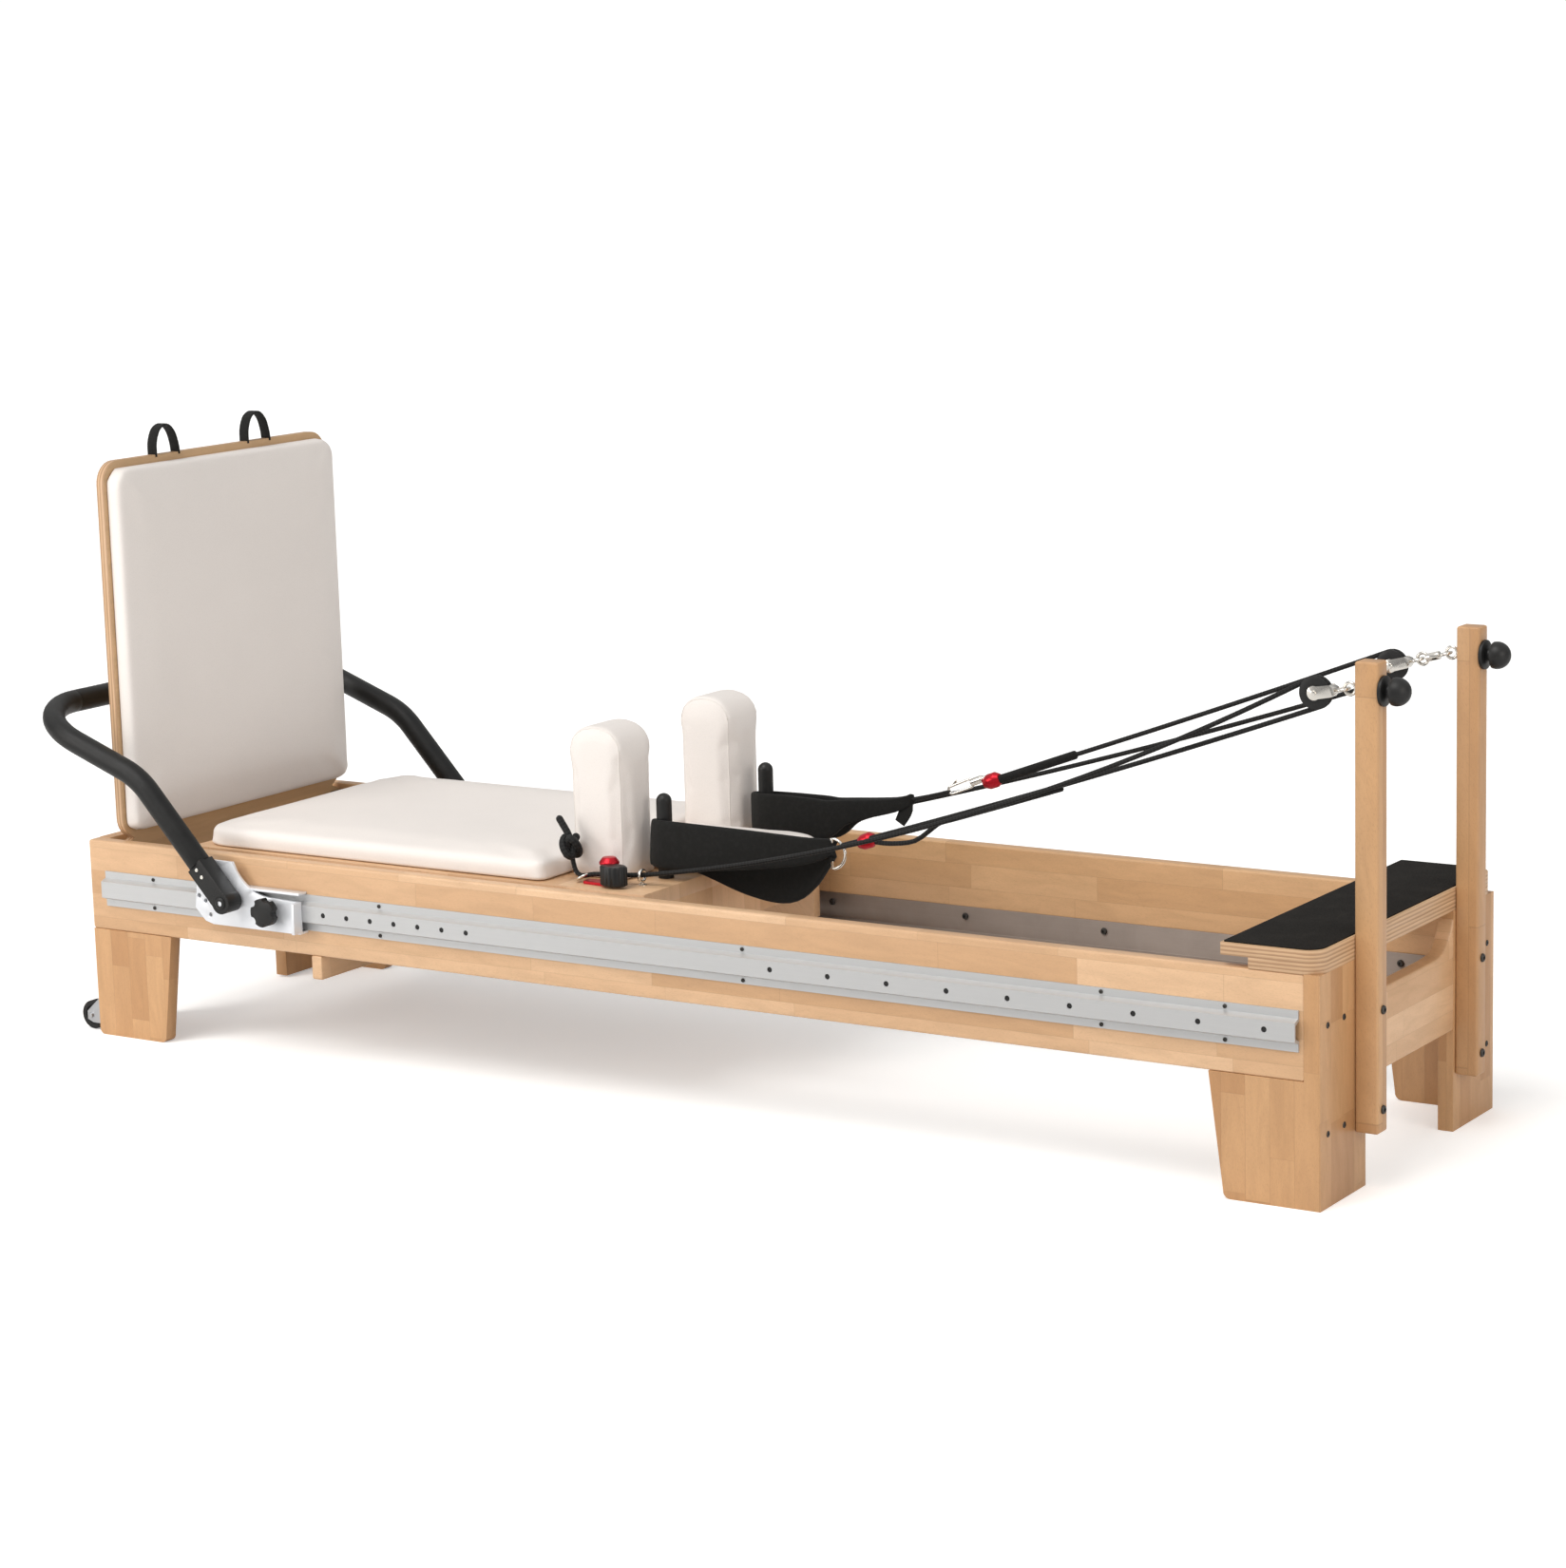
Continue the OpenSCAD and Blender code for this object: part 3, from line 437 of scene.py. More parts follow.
def loft(rings, closed=False, metres=False):
    """Skins rings of points and caps both ends, unless it closes. U is the length along, V the way around."""
    count, turns = len(rings[0]), len(rings)
    centres = [sum(ring, Vector((0, 0, 0))) / count for ring in rings]
    along = [0.0]
    for a, b in zip(centres, centres[1:] + centres[:1]):
        along.append(along[-1] + (b - a).length)
    sample = rings[turns // 2]
    around = [0.0]
    for a, b in zip(sample, sample[1:] + sample[:1]):
        around.append(around[-1] + (b - a).length)
    girth = 1.0 if metres else around[-1]
    bm = bmesh.new()
    layer = bm.loops.layers.uv.new("UVMap")
    verts = [[bm.verts.new(p) for p in ring] for ring in rings]
    for i in range(turns if closed else turns - 1):
        here, there = verts[i], verts[(i + 1) % turns]
        for k in range(count):
            m = (k + 1) % count
            face = bm.faces.new((here[k], there[k], there[m], here[m]))
            for loop, (s, t) in zip(face.loops, ((i, k), (i + 1, k), (i + 1, k + 1), (i, k + 1))):
                loop[layer].uv = (along[s], around[t] / girth)
    if not closed:
        bm.faces.new(verts[0])
        bm.faces.new(verts[-1][::-1])
    return to_mesh(bm)


def fillet(points, radii, closed=False, steps=8):
    """A path through points with rounded corners. radii is one radius, or one for each point."""
    count = len(points)
    radii = radii if isinstance(radii, (list, tuple)) else [radii] * count
    path = []
    for i, (corner, radius) in enumerate(zip(points, radii)):
        if radius <= 0 or (not closed and i in (0, count - 1)):
            path.append(corner.copy())
            continue
        back = (points[i - 1] - corner).normalized()
        ahead = (points[(i + 1) % count] - corner).normalized()
        half = back.angle(ahead) / 2
        middle = corner + (back + ahead).normalized() * radius / math.sin(half)
        start = corner + back * radius / math.tan(half) - middle
        turn = start.rotation_difference(corner + ahead * radius / math.tan(half) - middle)
        path += [middle + Quaternion().slerp(turn, k / steps) @ start for k in range(steps + 1)]
    return path


def curve(points, step=8 * MM, closed=False):
    """A smooth path through points, as points about step apart."""
    count = len(points)
    path = []
    for i in range(count if closed else count - 1):
        ends = [k % count if closed else min(max(k, 0), count - 1) for k in range(i - 1, i + 3)]
        a, b, c, d = (points[k] for k in ends)
        pieces = max(2, round((c - b).length / step))
        for k in range(pieces):
            t = k / pieces
            bend = (c - a) * t + (2 * a - 5 * b + 4 * c - d) * t ** 2 + (3 * b - a - 3 * c + d) * t ** 3
            path.append(b + bend / 2)
    if not closed:
        path.append(points[-1].copy())
    return path


def directions(points, closed=False):
    """The direction of a path at each of its points."""
    count = len(points)
    found = []
    for i, point in enumerate(points):
        before = points[i - 1] if closed or i else point
        after = points[(i + 1) % count] if closed or i < count - 1 else point
        found.append((after - before).xyz.normalized())
    return found


def tube(points, radius, sides=12, closed=False, dome=1.0):
    """A round bar along a path. dome is how far its ends are rounded: 1 is a full hemisphere."""
    radii = radius if isinstance(radius, (list, tuple)) else [radius] * len(points)
    tangents = directions(points, closed)
    side = tangents[0].cross(Z if abs(tangents[0].z) < 0.9 else X).normalized()
    sides_at = [side]
    for a, b in zip(tangents, tangents[1:]):
        sides_at.append((a.rotation_difference(b) @ sides_at[-1]).normalized())

    def ring(i, shift=0.0, shrink=1.0):
        tangent, across = tangents[i], sides_at[i]
        top = tangent.cross(across)
        angles = [2 * math.pi * k / sides for k in range(sides)]
        middle = points[i] + tangent * shift
        return [middle + (across * math.cos(a) + top * math.sin(a)) * radii[i] * shrink for a in angles]

    rings = [ring(i) for i in range(len(points))]
    if not closed:
        tips = [math.radians(a) for a in (80, 55, 28)]
        first = [ring(0, -dome * radii[0] * math.sin(a), 1 - dome * (1 - math.cos(a))) for a in tips]
        last = len(points) - 1
        end = [ring(last, dome * radii[last] * math.sin(a), 1 - dome * (1 - math.cos(a))) for a in tips[::-1]]
        rings = first + rings + end
    return loft(rings, closed)


def band(path, thickness, wide=Z, closed=False, crown=0.6, samples=20):
    """A flat strap along (x, y, z, width) points. Its width lies along wide, and its faces are crowned."""
    section = []
    for k in range(samples):
        c, s = math.cos(2 * math.pi * k / samples), math.sin(2 * math.pi * k / samples)
        section.append((math.copysign(abs(c) ** 0.25, c), math.copysign(abs(s) ** crown, s)))
    rings = []
    for p, tangent in zip(path, directions(path, closed)):
        across = (wide - tangent * wide.dot(tangent)).normalized()
        out = tangent.cross(across)
        rings.append([p.xyz + across * (p.w / 2 * a) + out * (thickness / 2 * b) for a, b in section])
    return loft(rings, closed, metres=True)


def lathe(profile, middle, axis=Z, segments=40, closed=False):
    """Turns a profile of (radius, height) pairs about an axis through middle."""
    turn = axis.to_track_quat("Z", "Y")
    angles = [2 * math.pi * k / segments for k in range(segments)]
    rings = [[middle + turn @ Vector((r * math.cos(a), r * math.sin(a), h)) for a in angles] for r, h in profile]
    return loft(rings, closed)


def rounded_profile(corners, radius, closed=True):
    """Rounds a lathe profile given in millimetres."""
    path = fillet([Vector((r * MM, 0, h * MM)) for r, h in corners], radius * MM, closed, steps=4)
    return [(p.x, p.z) for p in path]


def solid(outline, depth):
    """A closed prism on a flat outline."""
    bm = bmesh.new()
    low = [bm.verts.new(p) for p in outline]
    high = [bm.verts.new(p + depth) for p in outline]
    bm.faces.new(low)
    bm.faces.new(high[::-1])
    for i in range(len(outline)):
        bm.faces.new((low[i - 1], low[i], high[i], high[i - 1]))
    return to_mesh(bm)


def apply_modifiers(made):
    graph = bpy.context.evaluated_depsgraph_get()
    mesh = bpy.data.meshes.new_from_object(made.evaluated_get(graph))
    made.modifiers.clear()
    made.data = mesh


# ---------------------------------------------------------------- cushions

PADS = []
INSET = 3 * MM  # a pad starts this much inside its CAD solid, and swells to fill it


def weigh_edges(mesh, rest_on):
    """Marks the sharp edges that the bevel rounds: all but those around the face that the cushion rests on."""
    bm = bmesh.new()
    bm.from_mesh(mesh)
    weights = bm.edges.layers.float.new("bevel_weight_edge")
    base = max(v.co.dot(rest_on) for v in bm.verts)
    for edge in bm.edges:
        resting = all(v.co.dot(rest_on) > base - 0.1 * MM for v in edge.verts)
        edge[weights] = 0.0 if resting or edge.calc_face_angle() < math.radians(40) else 1.0
    bm.to_mesh(mesh)
    bm.free()


def pad(name, body, node, outline, depth, rounding, voxel, swell, rest_on):
    """A cushion skin on an outline, ready to be blown up. rest_on is the direction of the face that stays flat."""
    made = add(name, solid(outline, depth), CREAM, None, (node,))
    weigh_edges(made.data, rest_on)
    edge = made.modifiers.new("edge", "BEVEL")
    edge.width = rounding
    edge.segments = 5
    edge.limit_method = "WEIGHT"
    skin = made.modifiers.new("skin", "REMESH")
    skin.mode = "VOXEL"
    skin.voxel_size = voxel
    relax = made.modifiers.new("relax", "SMOOTH")
    relax.factor = 0.5
    relax.iterations = 6
    apply_modifiers(made)
    PADS.append((made, body, swell, rest_on))
    return made


def blow_up():
    """Inflates every pad with one run of cloth, caps how far a point moves, and leaves the bases flat."""
    scene = bpy.context.scene
    for made, body, swell, rest_on in PADS:
        heights = [v.co.dot(rest_on) for v in made.data.vertices]
        base = max(heights)
        held = made.vertex_groups.new(name="base")
        held.add([i for i, h in enumerate(heights) if h > base - 4 * MM], 1.0, "REPLACE")
        cloth = made.modifiers.new("cloth", "CLOTH")
        cloth.settings.use_pressure = True
        cloth.settings.uniform_pressure_force = 4
        cloth.settings.effector_weights.gravity = 0
        cloth.settings.vertex_group_mass = "base"
        cloth.point_cache.frame_start = 1
        cloth.point_cache.frame_end = 20
    for step in range(1, 21):
        scene.frame_set(step)
    graph = bpy.context.evaluated_depsgraph_get()
    for made, body, swell, rest_on in PADS:
        moved = made.evaluated_get(graph).data.vertices
        places = []
        for here, there in zip(made.data.vertices, moved):
            shift = there.co - here.co
            if shift.length > swell:
                shift *= swell / shift.length
            places.append(here.co + shift)
        made.modifiers.clear()
        made.vertex_groups.clear()
        for vertex, point in zip(made.data.vertices, places):
            vertex.co = point
    scene.frame_set(1)


def finish_pads():
    blow_up()
    for made, body, swell, rest_on in PADS:
        for face in made.data.polygons:
            face.use_smooth = True
        relax = made.modifiers.new("relax", "SMOOTH")
        relax.factor = 0.5
        relax.iterations = 4
        finer = made.modifiers.new("finer", "SUBSURF")
        finer.levels = finer.render_levels = 1
        apply_modifiers(made)
        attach(made, body)


def box_outline(node, radii, flat, inset=INSET):
    """Rounded rectangle on the low side of a node's box. flat names the axis that it is square to."""
    low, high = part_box(node)
    low, high = low + Vector((inset,) * 3), high - Vector((inset,) * 3)
    a, b = [i for i in range(3) if i != flat]
    corners = []
    for u, v in ((low[a], low[b]), (high[a], low[b]), (high[a], high[b]), (low[a], high[b])):
        corner = Vector((0, 0, 0))
        corner[a], corner[b], corner[flat] = u, v, low[flat] - inset
        corners.append(corner)
    return fillet(corners, [r * MM for r in radii], closed=True)


def make_pads():
    low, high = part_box("carriage_mat")
    pad("mat_cushion", "carriage", "carriage_mat", box_outline("carriage_mat", (57, 22, 22, 57), 2),
        Z * (high.z - low.z - INSET), 11 * MM, 7.5 * MM, 6 * MM, -Z)
    low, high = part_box("jump_board_pad")
    pad("board_cushion", "jump_board", "jump_board_pad", box_outline("jump_board_pad", (28, 28, 40, 40), 0),
        X * (high.x - low.x - INSET), 9 * MM, 7.5 * MM, 6 * MM, -X)
    low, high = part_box("headrest_pad")
    pad("headrest_cushion", "headrest", "headrest_pad", box_outline("headrest_pad", (16, 28, 28, 16), 2),
        Z * (high.z - low.z - INSET), 8 * MM, 5.5 * MM, 5 * MM, -Z)
    arch = 46 * MM
    for side in ("near", "far"):
        node = side + "_shoulder_rest"
        low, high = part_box(node)
        low.z = DECK_TOP
        low, high = low + Vector((INSET, INSET, 0)), high - Vector((INSET,) * 3)
        corners = [Vector((x, low.y, z)) for x, z in ((low.x, low.z), (high.x, low.z), (high.x, high.z), (low.x, high.z))]
        made = pad(side + "_rest_cushion", side + "_rest", node, fillet(corners, [3 * MM, 3 * MM, arch, arch], closed=True),
                   Y * (high.y - low.y), 11 * MM, 5.5 * MM, 5 * MM, -Z)
    finish_pads()


def make_rest_seams():
    """A fine seam on each side of a shoulder rest, where the flat face meets the wrap, laid on the finished skin."""
    for side in ("near", "far"):
        target = bpy.data.objects[side + "_rest_cushion"]
        tree = BVHTree.FromObject(target, bpy.context.evaluated_depsgraph_get())
        low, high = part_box(side + "_shoulder_rest")
        rim = 5 * MM
        for face, y in (("outer", low.y), ("inner", high.y)):
            corners = [Vector((x, y, z)) for x, z in ((low.x + rim, DECK_TOP + 2 * MM), (low.x + rim, high.z - rim),
                                                      (high.x - rim, high.z - rim), (high.x - rim, DECK_TOP + 2 * MM))]
            path = curve(fillet(corners, 46 * MM, steps=10), 5 * MM)
            path = [tree.find_nearest(p) for p in path]
            path = [spot + normal * 0.2 * MM for spot, normal, _, _ in path]
            add(f"{side}_rest_seam_{face}", tube(path, 0.9 * MM, 8), CREAM, side + "_rest")


make_pads()
make_rest_seams()


# ---------------------------------------------------------------- footbar

BAR_BEND = place(168, 0, 489)


def make_footbar_grip():
    """Three foam sleeves on the footbar, with a seam at each end of the crossbar."""
    low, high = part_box("footbar_grip")
    radius, start, seam = 20 * MM, 84 * MM, 0.6 * MM
    pivot, bend = joint_at("footbar_pivot"), BAR_BEND
    arm_y = high.y - radius
    lower = Vector((pivot.x, -arm_y, pivot.z))
    middle = Vector((bend.x, -arm_y, bend.z))
    corner = Vector((low.x + radius, -arm_y, high.z - radius))
    lower += (middle - lower).normalized() * start
    near = [lower, middle, corner]
    steps = 16
    path = fillet(near + mirrored(near, True)[::-1], [r * MM for r in (0, 140, 130, 130, 140, 0)], steps=steps)
    split = 2 * (steps + 1)
    cross = path[split:split + 2]
    cross = [cross[0] + Y * seam, cross[1] - Y * seam]
    add("near_foam_sleeve", tube(path[:split + 1], radius, 28, dome=0.1), FOAM, "footbar", ("footbar_grip",))
    add("crossbar_foam_sleeve", tube(cross, radius, 28, dome=0.08), FOAM, "footbar")
    add("far_foam_sleeve", tube(path[split + 1:], radius, 28, dome=0.1), FOAM, "footbar")


def make_sleeve_screws():
    """Two small bright screws near the top of each footbar socket, and a black cap on each pivot."""
    pivot = joint_at("footbar_pivot")
    low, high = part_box("footbar_sleeves")
    direction = (BAR_BEND - pivot).normalized()
    boss = 0.5 * MM
    heads, caps = [], []
    for y, facing in ((low.y, -Y), (high.y, Y)):
        spot = Vector((pivot.x, y, pivot.z))
        heads += [socket_head(spot - facing * boss + direction * reach * MM, facing, 3.6 * MM, 1.6 * MM) for reach in (58, 74)]
        caps.append(socket_head(spot, facing, 11 * MM, 2.6 * MM))
    add("footbar_sleeve_screws", joined(heads), CHROME, "footbar")
    add("footbar_pivot_caps", joined(caps), BLACK_STEEL, "footbar")


# ---------------------------------------------------------------- screws, knobs and wheels

def socket_head(spot, facing, radius, height):
    """A button head with a hexagon socket, standing on spot."""
    turn = facing.to_track_quat("Z", "Y")
    count = 24

    def ring(r, h, hexagon=False):
        points = []
        for k in range(count):
            a = 2 * math.pi * k / count
            reach = r / math.cos((a + math.pi / 6) % (math.pi / 3) - math.pi / 6) if hexagon else r
            points.append(spot + turn @ Vector((reach * math.cos(a), reach * math.sin(a), h)))
        return points

    return loft([ring(radius * 0.96, 0), ring(radius, height * 0.12), ring(radius * 0.97, height * 0.5),
                 ring(radius * 0.82, height * 0.9), ring(radius * 0.62, height), ring(radius * 0.42, height, True),
                 ring(radius * 0.42, height * 0.35, True)])


def islands(node):
    """The box of each separate solid of a CAD node."""
    bm = bmesh.new()
    bm.from_mesh(nodes[node].data)
    bmesh.ops.remove_doubles(bm, verts=bm.verts, dist=1e-5)
    found, left = [], set(bm.verts)
    while left:
        group, edge = set(), [min(left, key=lambda v: v.index)]
        while edge:
            vertex = edge.pop()
            if vertex not in group:
                group.add(vertex)
                edge += [e.other_vert(vertex) for e in vertex.link_edges]
        left -= group
        spots = [v.co for v in group]
        found.append((Vector([min(s[i] for s in spots) for i in range(3)]),
                      Vector([max(s[i] for s in spots) for i in range(3)])))
    bm.free()
    return found


def make_frame_screws():
    """A socket head in place of each plain one. Those on the inner tracks face the middle."""
    heads = []
    track_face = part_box("inner_tracks")[1].y - 1 * MM
    for low, high in islands("frame_screws"):
        size, middle = high - low, (low + high) / 2
        if size.x < size.y:
            facing = X
        else:
            outward = Y if middle.y > 0 else -Y
            facing = outward if abs(middle.y) > track_face else -outward
        depth = abs(size.dot(facing))
        radius = sorted(size)[2] / 2
        heads.append(socket_head(middle - facing * depth / 2, facing, radius, depth))
    add("frame_screw_heads", joined(heads), DARK_SCREW, "frame", ("frame_screws",))


def make_wheels():
    """Wheels with a rounded tread, a stepped web and a hub."""
    for side in ("near", "far"):
        node = side + "_transport_wheel"
        profile = rounded_profile(((5.1, -9), (9, -9), (9, -6.5), (17, -6.5), (17, -9), (26, -9), (26, 9),
                                   (17, 9), (17, 6.5), (9, 6.5), (9, 9), (5.1, 9)), 1.0)
        add(side + "_castor_wheel", lathe(profile, centre(node), Y, 48, closed=True), RUBBER, side + "_castor",
            (node,))
    for end in ("foot_end", "head_end"):
        node = end + "_wheels"
        low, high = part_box(node)
        wheels = []
        for y in (low.y + 10 * MM, high.y - 10 * MM):
            profile = rounded_profile(((6.1, -10), (10, -10), (10, -7), (18, -7), (18, -10), (25, -10), (25, 10),
                                       (18, 10), (18, 7), (10, 7), (10, 10), (6.1, 10)), 1.0)
            wheels.append(lathe(profile, Vector(((low.x + high.x) / 2, y, (low.z + high.z) / 2)), Y, 48, closed=True))
        add(end + "_rollers", joined(wheels), RUBBER, end + "_axle", (node,))


def make_riser_knobs():
    """Washer, short neck and domed head in one smooth turned shape."""
    for side in ("near", "far"):
        node = side + "_riser_knob"
        low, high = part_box(node)
        middle = Vector((low.x, (low.y + high.y) / 2, (low.z + high.z) / 2))
        ball, ball_x = 21.4, 22.5
        profile = rounded_profile(((5.1, 0), (23, 0), (23, 5.5), (13, 7.5), (10, 10), (10, 16.9)), 1.4, closed=False)
        arc = [math.radians(a) for a in range(-15, 90, 7)]
        profile += [(ball * math.cos(a) * MM, (ball_x + ball * math.sin(a)) * MM) for a in arc]
        add(side + "_knob_ball", lathe(profile, middle, X, 48), BLACK, side + "_knob", (node,))


def make_hole_plugs():
    """A black plug sunk a little way into each lock hole of the outer rails."""
    for side, facing in (("near", -Y), ("far", Y)):
        low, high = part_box(side + "_outer_rail")
        face = low.y if side == "near" else high.y
        plugs = []
        for x in [543 + 51 * i for i in range(7)] + [1453 + 108 * i for i in range(9)]:
            spot = Vector((place(x, 0, 0).x, face, 272 * MM)) - facing * 2.4 * MM
            profile = [(0.3 * MM, 0), (4.4 * MM, 0), (4.4 * MM, 1.2 * MM), (3.2 * MM, 1.6 * MM), (0.3 * MM, 1.6 * MM)]
            plugs.append(lathe(profile, spot, facing, 20))
        add(side + "_hole_plugs", joined(plugs), BLACK, "frame")


make_hole_plugs()
make_footbar_grip()
make_sleeve_screws()
make_frame_screws()
make_wheels()
make_riser_knobs()


# ---------------------------------------------------------------- springs

def make_springs():
    """Close-wound extension springs with a hook at each end, stretched between the bar and the carriage."""
    low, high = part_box("springs")
    wire, coil, lead, turns, per_turn = 1.5 * MM, 9.4 * MM, 24 * MM, 96, 10
    z = (low.z + high.z) / 2
    pitch = (high.y - low.y - 2 * 11 * MM) / 4
    for i in range(5):
        y = pitch * (i - 2)

        def hook(x, way):
            points = []
            for k in range(9):
                a = math.radians(230 - 25 * k)
                points.append(Vector((x + way * (10 * MM + 9 * MM * math.cos(a)), y, z + 9 * MM * math.sin(a))))
            return points

        start, end = low.x + lead, high.x - lead
        path = hook(low.x, 1)
        for k in range(turns * per_turn + 1):
            a = math.pi / 2 + 2 * math.pi * k / per_turn
            spot = Vector((start + (end - start) * k / (turns * per_turn), y, z))
            path.append(spot + Vector((0, math.cos(a), math.sin(a))) * coil)
        path += hook(high.x, -1)[::-1]
        made = add(f"spring_coil_{i + 1}", tube(path, wire, 6), STEEL, None, ("springs",) if i == 0 else ())
        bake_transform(made)


make_springs()


# ---------------------------------------------------------------- ropes

ROPE = 4 * MM
WRAP = 22 * MM  # from a pulley's axis to the middle of the rope on it


def hanging(start, end, sag, step=22 * MM):
    """The path of a rope that sags between two points."""
    pieces = max(8, round((end - start).length / step))
    return [start.lerp(end, k / pieces) - Z * 4 * sag * (k / pieces) * (1 - k / pieces) for k in range(pieces + 1)]


def rope(name, path, radius=ROPE, sides=10):
    """A rope along a path, held by the frame, with a mesh of its own."""
    made = add(name, tube(path, radius, sides), CORD, "frame")
    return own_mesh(made)


def over_pulley(name, wheel, upper, lower, sags):
    """The rope's two straight runs' meeting points with a pulley, after laying the turn between them."""
    middle = centre(wheel)
    slopes = []
    for end, sag in zip((upper, lower), sags):
        reach = middle.x - end.x
        slopes.append(math.atan2(middle.z - end.z + 4 * sag, reach))
    top = math.pi / 2 + slopes[0]
    bottom = -math.pi / 2 + slopes[1]
    path = []
    for k in range(17):
        a = top + (bottom - top) * k / 16
        path.append(middle + Vector((math.cos(a), 0, math.sin(a))) * WRAP)
    add(name, tube(path, ROPE, 10), CORD, "frame")
    return path[0], path[-1]


def make_ropes():
    near_eye, far_eye = [place(1136, y, DECK_TOP / MM + 18) for y in (-225, 225)]
    # near rope: deck eye, pulley, down to the strap ring, with a doubled end held by the red lock
    ring, lock = place(1468, -135, 437), place(1528, -133, 447)
    top, bottom = over_pulley("near_rope_turn", "near_pulley_wheel", near_eye, ring, (56 * MM, 4 * MM))
    rope("near_rope_upper", hanging(near_eye, top, 56 * MM))
    lower = hanging(ring, bottom, 6 * MM)
    rope("near_rope_lower", lower)
    share = [p for p in lower if p.x < place(1890, 0, 0).x and p.x > place(1640, 0, 0).x]
    beside = [p + Vector((0, 5 * MM, -6 * MM)) for p in share]
    join = [lock, place(1560, -138, 448), place(1610, -146, 458), beside[0] - Vector((12 * MM, 0, 8 * MM))]
    doubled = curve(join + beside, 12 * MM)
    made = add("near_rope_doubled", tube(doubled, ROPE, 10), CORD, "frame")
    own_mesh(made)
    # far rope
    hook = place(1606, 142, 511)
    top, bottom = over_pulley("far_rope_turn", "far_pulley_wheel", hook, far_eye, (2 * MM, 14 * MM))
    rope("far_rope_upper", hanging(hook, top, 3 * MM))
    rope("far_rope_lower", hanging(far_eye, bottom, 14 * MM))
    sleeve = [hook.lerp(top, t / 10) + Vector((0, 0, -2 * MM)) for t in range(3)]
    made = add("far_rope_sleeve", tube(sleeve, 7.5 * MM, 14, dome=0.4), WEBBING, "frame")
    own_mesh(made)
    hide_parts("ropes")


def make_straps():
    """Padded loops around the strap posts."""
    post = centre("strap_posts")
    rows = [(1446, -134, 430, 28), (1400, -149, 424, 46), (1290, -168, 420, 68), (1200, -176, 418, 78),
            (1134, -176, 418, 80), (1111, -155, 420, 70), (1132, -135, 410, 66), (1200, -124, 394, 70),
            (1280, -112, 368, 76), (1345, -112, 362, 74), (1392, -118, 384, 60), (1424, -126, 408, 40)]
    near = strap_path(rows)
    made = add("near_hand_strap", band(near, 11 * MM, Vector((0, 0.12, 1)), closed=True), WEBBING, "carriage",
               ("hand_straps",))
    squash_strap(made)
    rows = [(1432, 143, 461, 18), (1400, 136, 449, 24), (1310, 130, 432, 42), (1255, 130, 414, 72),
            (1180, 132, 413, 76), (1132, 135, 412, 74), (1108, 155, 411, 72), (1132, 175, 410, 72),
            (1180, 176, 409, 76), (1255, 172, 411, 74), (1312, 164, 430, 42), (1400, 150, 449, 24)]
    far = strap_path(rows)
    made = add("far_hand_strap", band(far, 11 * MM, closed=True), WEBBING, "carriage")
    squash_strap(made)
    tail = [place(*row[:3]).to_4d() for row in ((1420, 142, 462), (1424, 138, 444), (1412, 136, 420))]
    for point, width in zip(tail, (24, 26, 20)):
        point.w = width * MM
    made = add("far_strap_tail", band(curve(tail, 6 * MM), 3 * MM, X), WEBBING, "carriage")
    squash_strap(made)
    cord = curve([place(1432, 142, 461), place(1470, 142, 470), place(1506, 142, 480)], 8 * MM)
    made = add("far_strap_cord", tube(cord, 3.2 * MM, 10), CORD, "carriage")
    squash_strap(made)


def strap_path(rows):
    points = []
    for x, y, z, width in rows:
        point = place(x, y, z).to_4d()
        point.w = width * MM
        points.append(point)
    return curve(points, 10 * MM, closed=True)


def squash_strap(made):
    """Gives a strap a mesh of its own."""
    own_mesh(made)
    return made


def make_fittings():
    """The D-ring on the near strap and the snap hook on the far one."""
    arc = [math.radians(90 - 180 * k / 14) for k in range(15)]
    ring = [place(1446 + 25 * math.cos(a), -134, 421 + 25 * math.sin(a)) for a in arc]
    add("near_d_ring", tube(ring, 2.6 * MM, 10, closed=True), CHROME, "near_clip", ("near_strap_ring",))
    slope = Vector((math.cos(math.radians(22)), 0, math.sin(math.radians(22))))
    rise = slope.cross(Y)
    eye = place(1506, 142, 481)
    corners = [eye + slope * a * MM + rise * b * MM for a, b in ((0, -6), (49, -7), (49, 7), (0, 6))]
    loop = fillet(corners, 5.5 * MM, closed=True, steps=6)
    barrel = lathe(rounded_profile(((0.3, 0), (6.5, 0), (6.5, 22), (4, 24), (4, 30), (0.3, 30)), 1.2, closed=False),
                   eye + slope * 47 * MM, slope, 20)
    catch = tube([eye + slope * 12 * MM + rise * 7 * MM, eye + slope * 20 * MM + rise * 12 * MM], 2 * MM, 8)
    hook = joined([tube(loop, 2.3 * MM, 10, closed=True), barrel, catch])
    add("far_snap_hook", hook, CHROME, "far_clip", ("far_strap_hook",))


